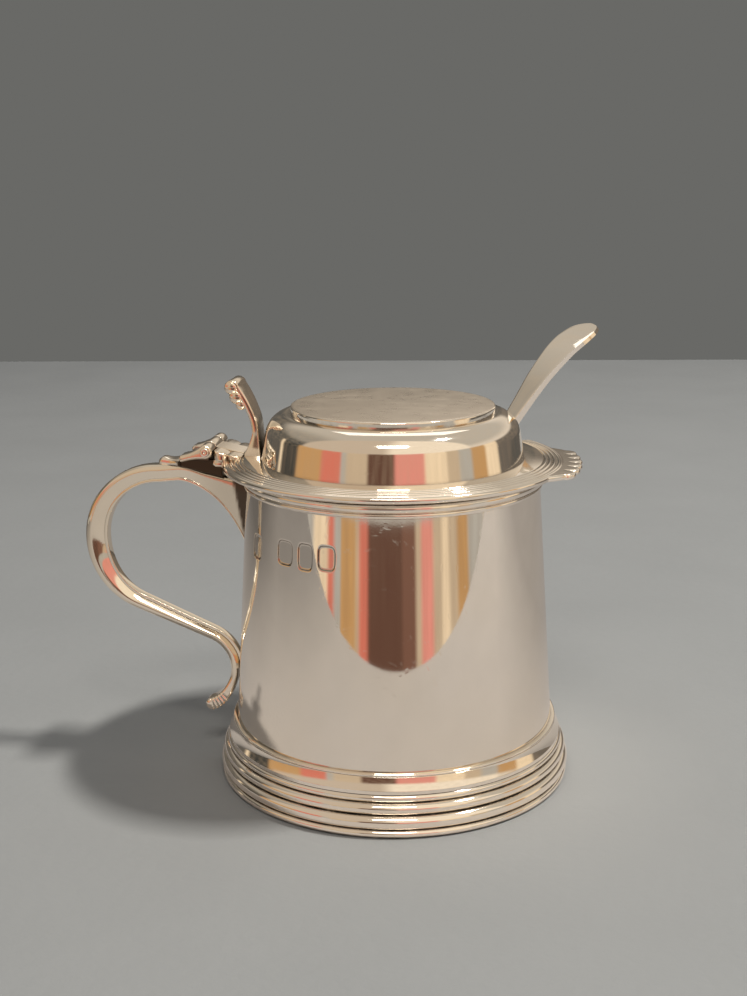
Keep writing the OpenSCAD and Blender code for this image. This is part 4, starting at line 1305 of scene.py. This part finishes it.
# Limits between the surround's parts, on the direction's components from -1 to 1
GAP_RISE = (-0.1365, -0.1335)
GAP_FRONT = (-0.3, 0.0)
GLOW_RIGHT = (0.965, 0.985)
EYE_RISE = (-0.07, -0.05)
SKY_RISE = (0.19, 0.29)
SKY_FRONT = (0.10, 0.20)
SKY_RIGHT = (-0.05, 0.15)
BACK_RISE = (-0.02, 0.22)
BACK_RIGHT = (-0.32, -0.09)
BACK_OVER = (0.35, 0.55)
BACK_HIGH = (0.28, 0.5)
BACK_LEFT = (-0.75, -0.40)
HAZE_RISE = (-0.3, 0.3)


def bands(n, share, rows):
    """Colours by the angle round the pot, with short steps between."""
    stops = [(0.0, rows[0][1])]
    for (start, colour), (_, before) in zip(rows[1:], rows):
        stops += [((start - BAND_SOFT + 180) / 360, before), ((start + BAND_SOFT + 180) / 360, colour)]
    return n.ramp(share, stops)


def surround():
    world = bpy.data.worlds.new("surround")
    world.use_nodes = True
    n = Nodes(world.node_tree)
    place = n.place("Generated")
    axes = n.add("ShaderNodeSeparateXYZ", {0: place}).outputs
    right, rise = axes["X"], axes["Z"]
    front = n.math("MULTIPLY", axes["Y"], -1.0)
    share = n.spread(n.math("ARCTAN2", right, front), -math.pi, math.pi)
    sky_front = n.mix(n.above(right, *SKY_RIGHT), SKY_FRONT_LEFT, SKY_FRONT_RIGHT)
    lit = n.math("MAXIMUM", n.above(right, *BACK_RIGHT), n.above(rise, *BACK_OVER))
    sky_top = n.mix(n.above(rise, *BACK_HIGH), SKY_BACK_LOW, SKY_BACK_HIGH)
    sky_top = n.mix(n.above(right, *BACK_LEFT), SKY_BACK_LEFT, sky_top)
    sky_back = n.mix(n.above(rise, *BACK_RISE), WALL, n.mix(lit, SHADE, sky_top))
    sky = n.mix(n.above(front, *SKY_FRONT), sky_back, sky_front)
    gap = n.mix(n.above(front, *GAP_FRONT), SHADE, GREY)
    mirrored = n.mix(n.above(rise, *GAP_RISE), bands(n, share, LOW_BANDS), gap)
    mirrored = n.mix(n.above(right, *GLOW_RIGHT), mirrored, CREAM)
    mirrored = n.mix(n.above(rise, *EYE_RISE), mirrored, bands(n, share, EYE_BANDS))
    mirrored = n.mix(n.above(rise, *SKY_RISE), mirrored, sky)
    haze = n.spread(n.noise(place, scale=14.0), *HAZE_SPREAD)
    mirrored = n.mix(haze, mirrored, n.mix(n.above(rise, *HAZE_RISE), BROWN, BEIGE))
    path = n.add("ShaderNodeLightPath").outputs
    mirror = n.math("MAXIMUM", path["Is Glossy Ray"], path["Is Transmission Ray"])
    colour = n.mix(mirror, SOFT_LIGHT, mirrored)
    colour = n.mix(path["Is Camera Ray"], colour, WALL)
    light = n.add("ShaderNodeBackground", {"Color": colour, "Strength": 1.0})
    n.add("ShaderNodeOutputWorld", {"Surface": light.outputs[0]})
    return world


bpy.context.scene.world = surround()

LAMP_AIM = Vector((0, 0, 0.03))
LAMP_WHITE = (1.0, 0.97, 0.92)
LAMP_WARM = (1.0, 0.95, 0.88)


def lamp(name, place, size, energy, tint):
    data = bpy.data.lights.new(name, "AREA")
    data.shape = "RECTANGLE"
    data.size, data.size_y = size
    data.energy = energy
    data.color = tint
    obj = new_object(name, data)
    turned = (LAMP_AIM - Vector(place)).to_track_quat("-Z", "Y").to_matrix().to_4x4()
    obj.matrix_world = Matrix.Translation(place) @ turned


lamp("key", place=(0.44, 0.0, 0.90), size=(0.12, 0.05), energy=6.8, tint=LAMP_WHITE)
lamp("front", place=(0.08, -0.60, 0.75), size=(0.36, 0.14), energy=1.8, tint=LAMP_WARM)
lamp("top", place=(-0.02, 0.45, 0.75), size=(0.50, 0.30), energy=0.45, tint=LAMP_WARM)

# Camera at the photograph's place
EYE = (0.030443, -0.225887, 0.103339)
RIGHT = (0.98927, 0.14592, -0.00774)
UP = (-0.02744, 0.23753, 0.97099)
FORWARD = (-0.14353, 0.96036, -0.23899)
FOCAL_PIXELS = 1400
PHOTO_HEIGHT = 996
SENSOR = 36.0
camera_data = bpy.data.cameras.new("camera")
camera_data.sensor_width = SENSOR
camera_data.lens = FOCAL_PIXELS / PHOTO_HEIGHT * SENSOR
camera_data.clip_start = 0.01
camera = new_object("camera", camera_data)
camera.matrix_world = Matrix([
    (RIGHT[k], UP[k], -FORWARD[k], EYE[k]) for k in range(3)] + [(0, 0, 0, 1)])
bpy.context.scene.camera = camera
bpy.context.scene.view_settings.view_transform = "Standard"
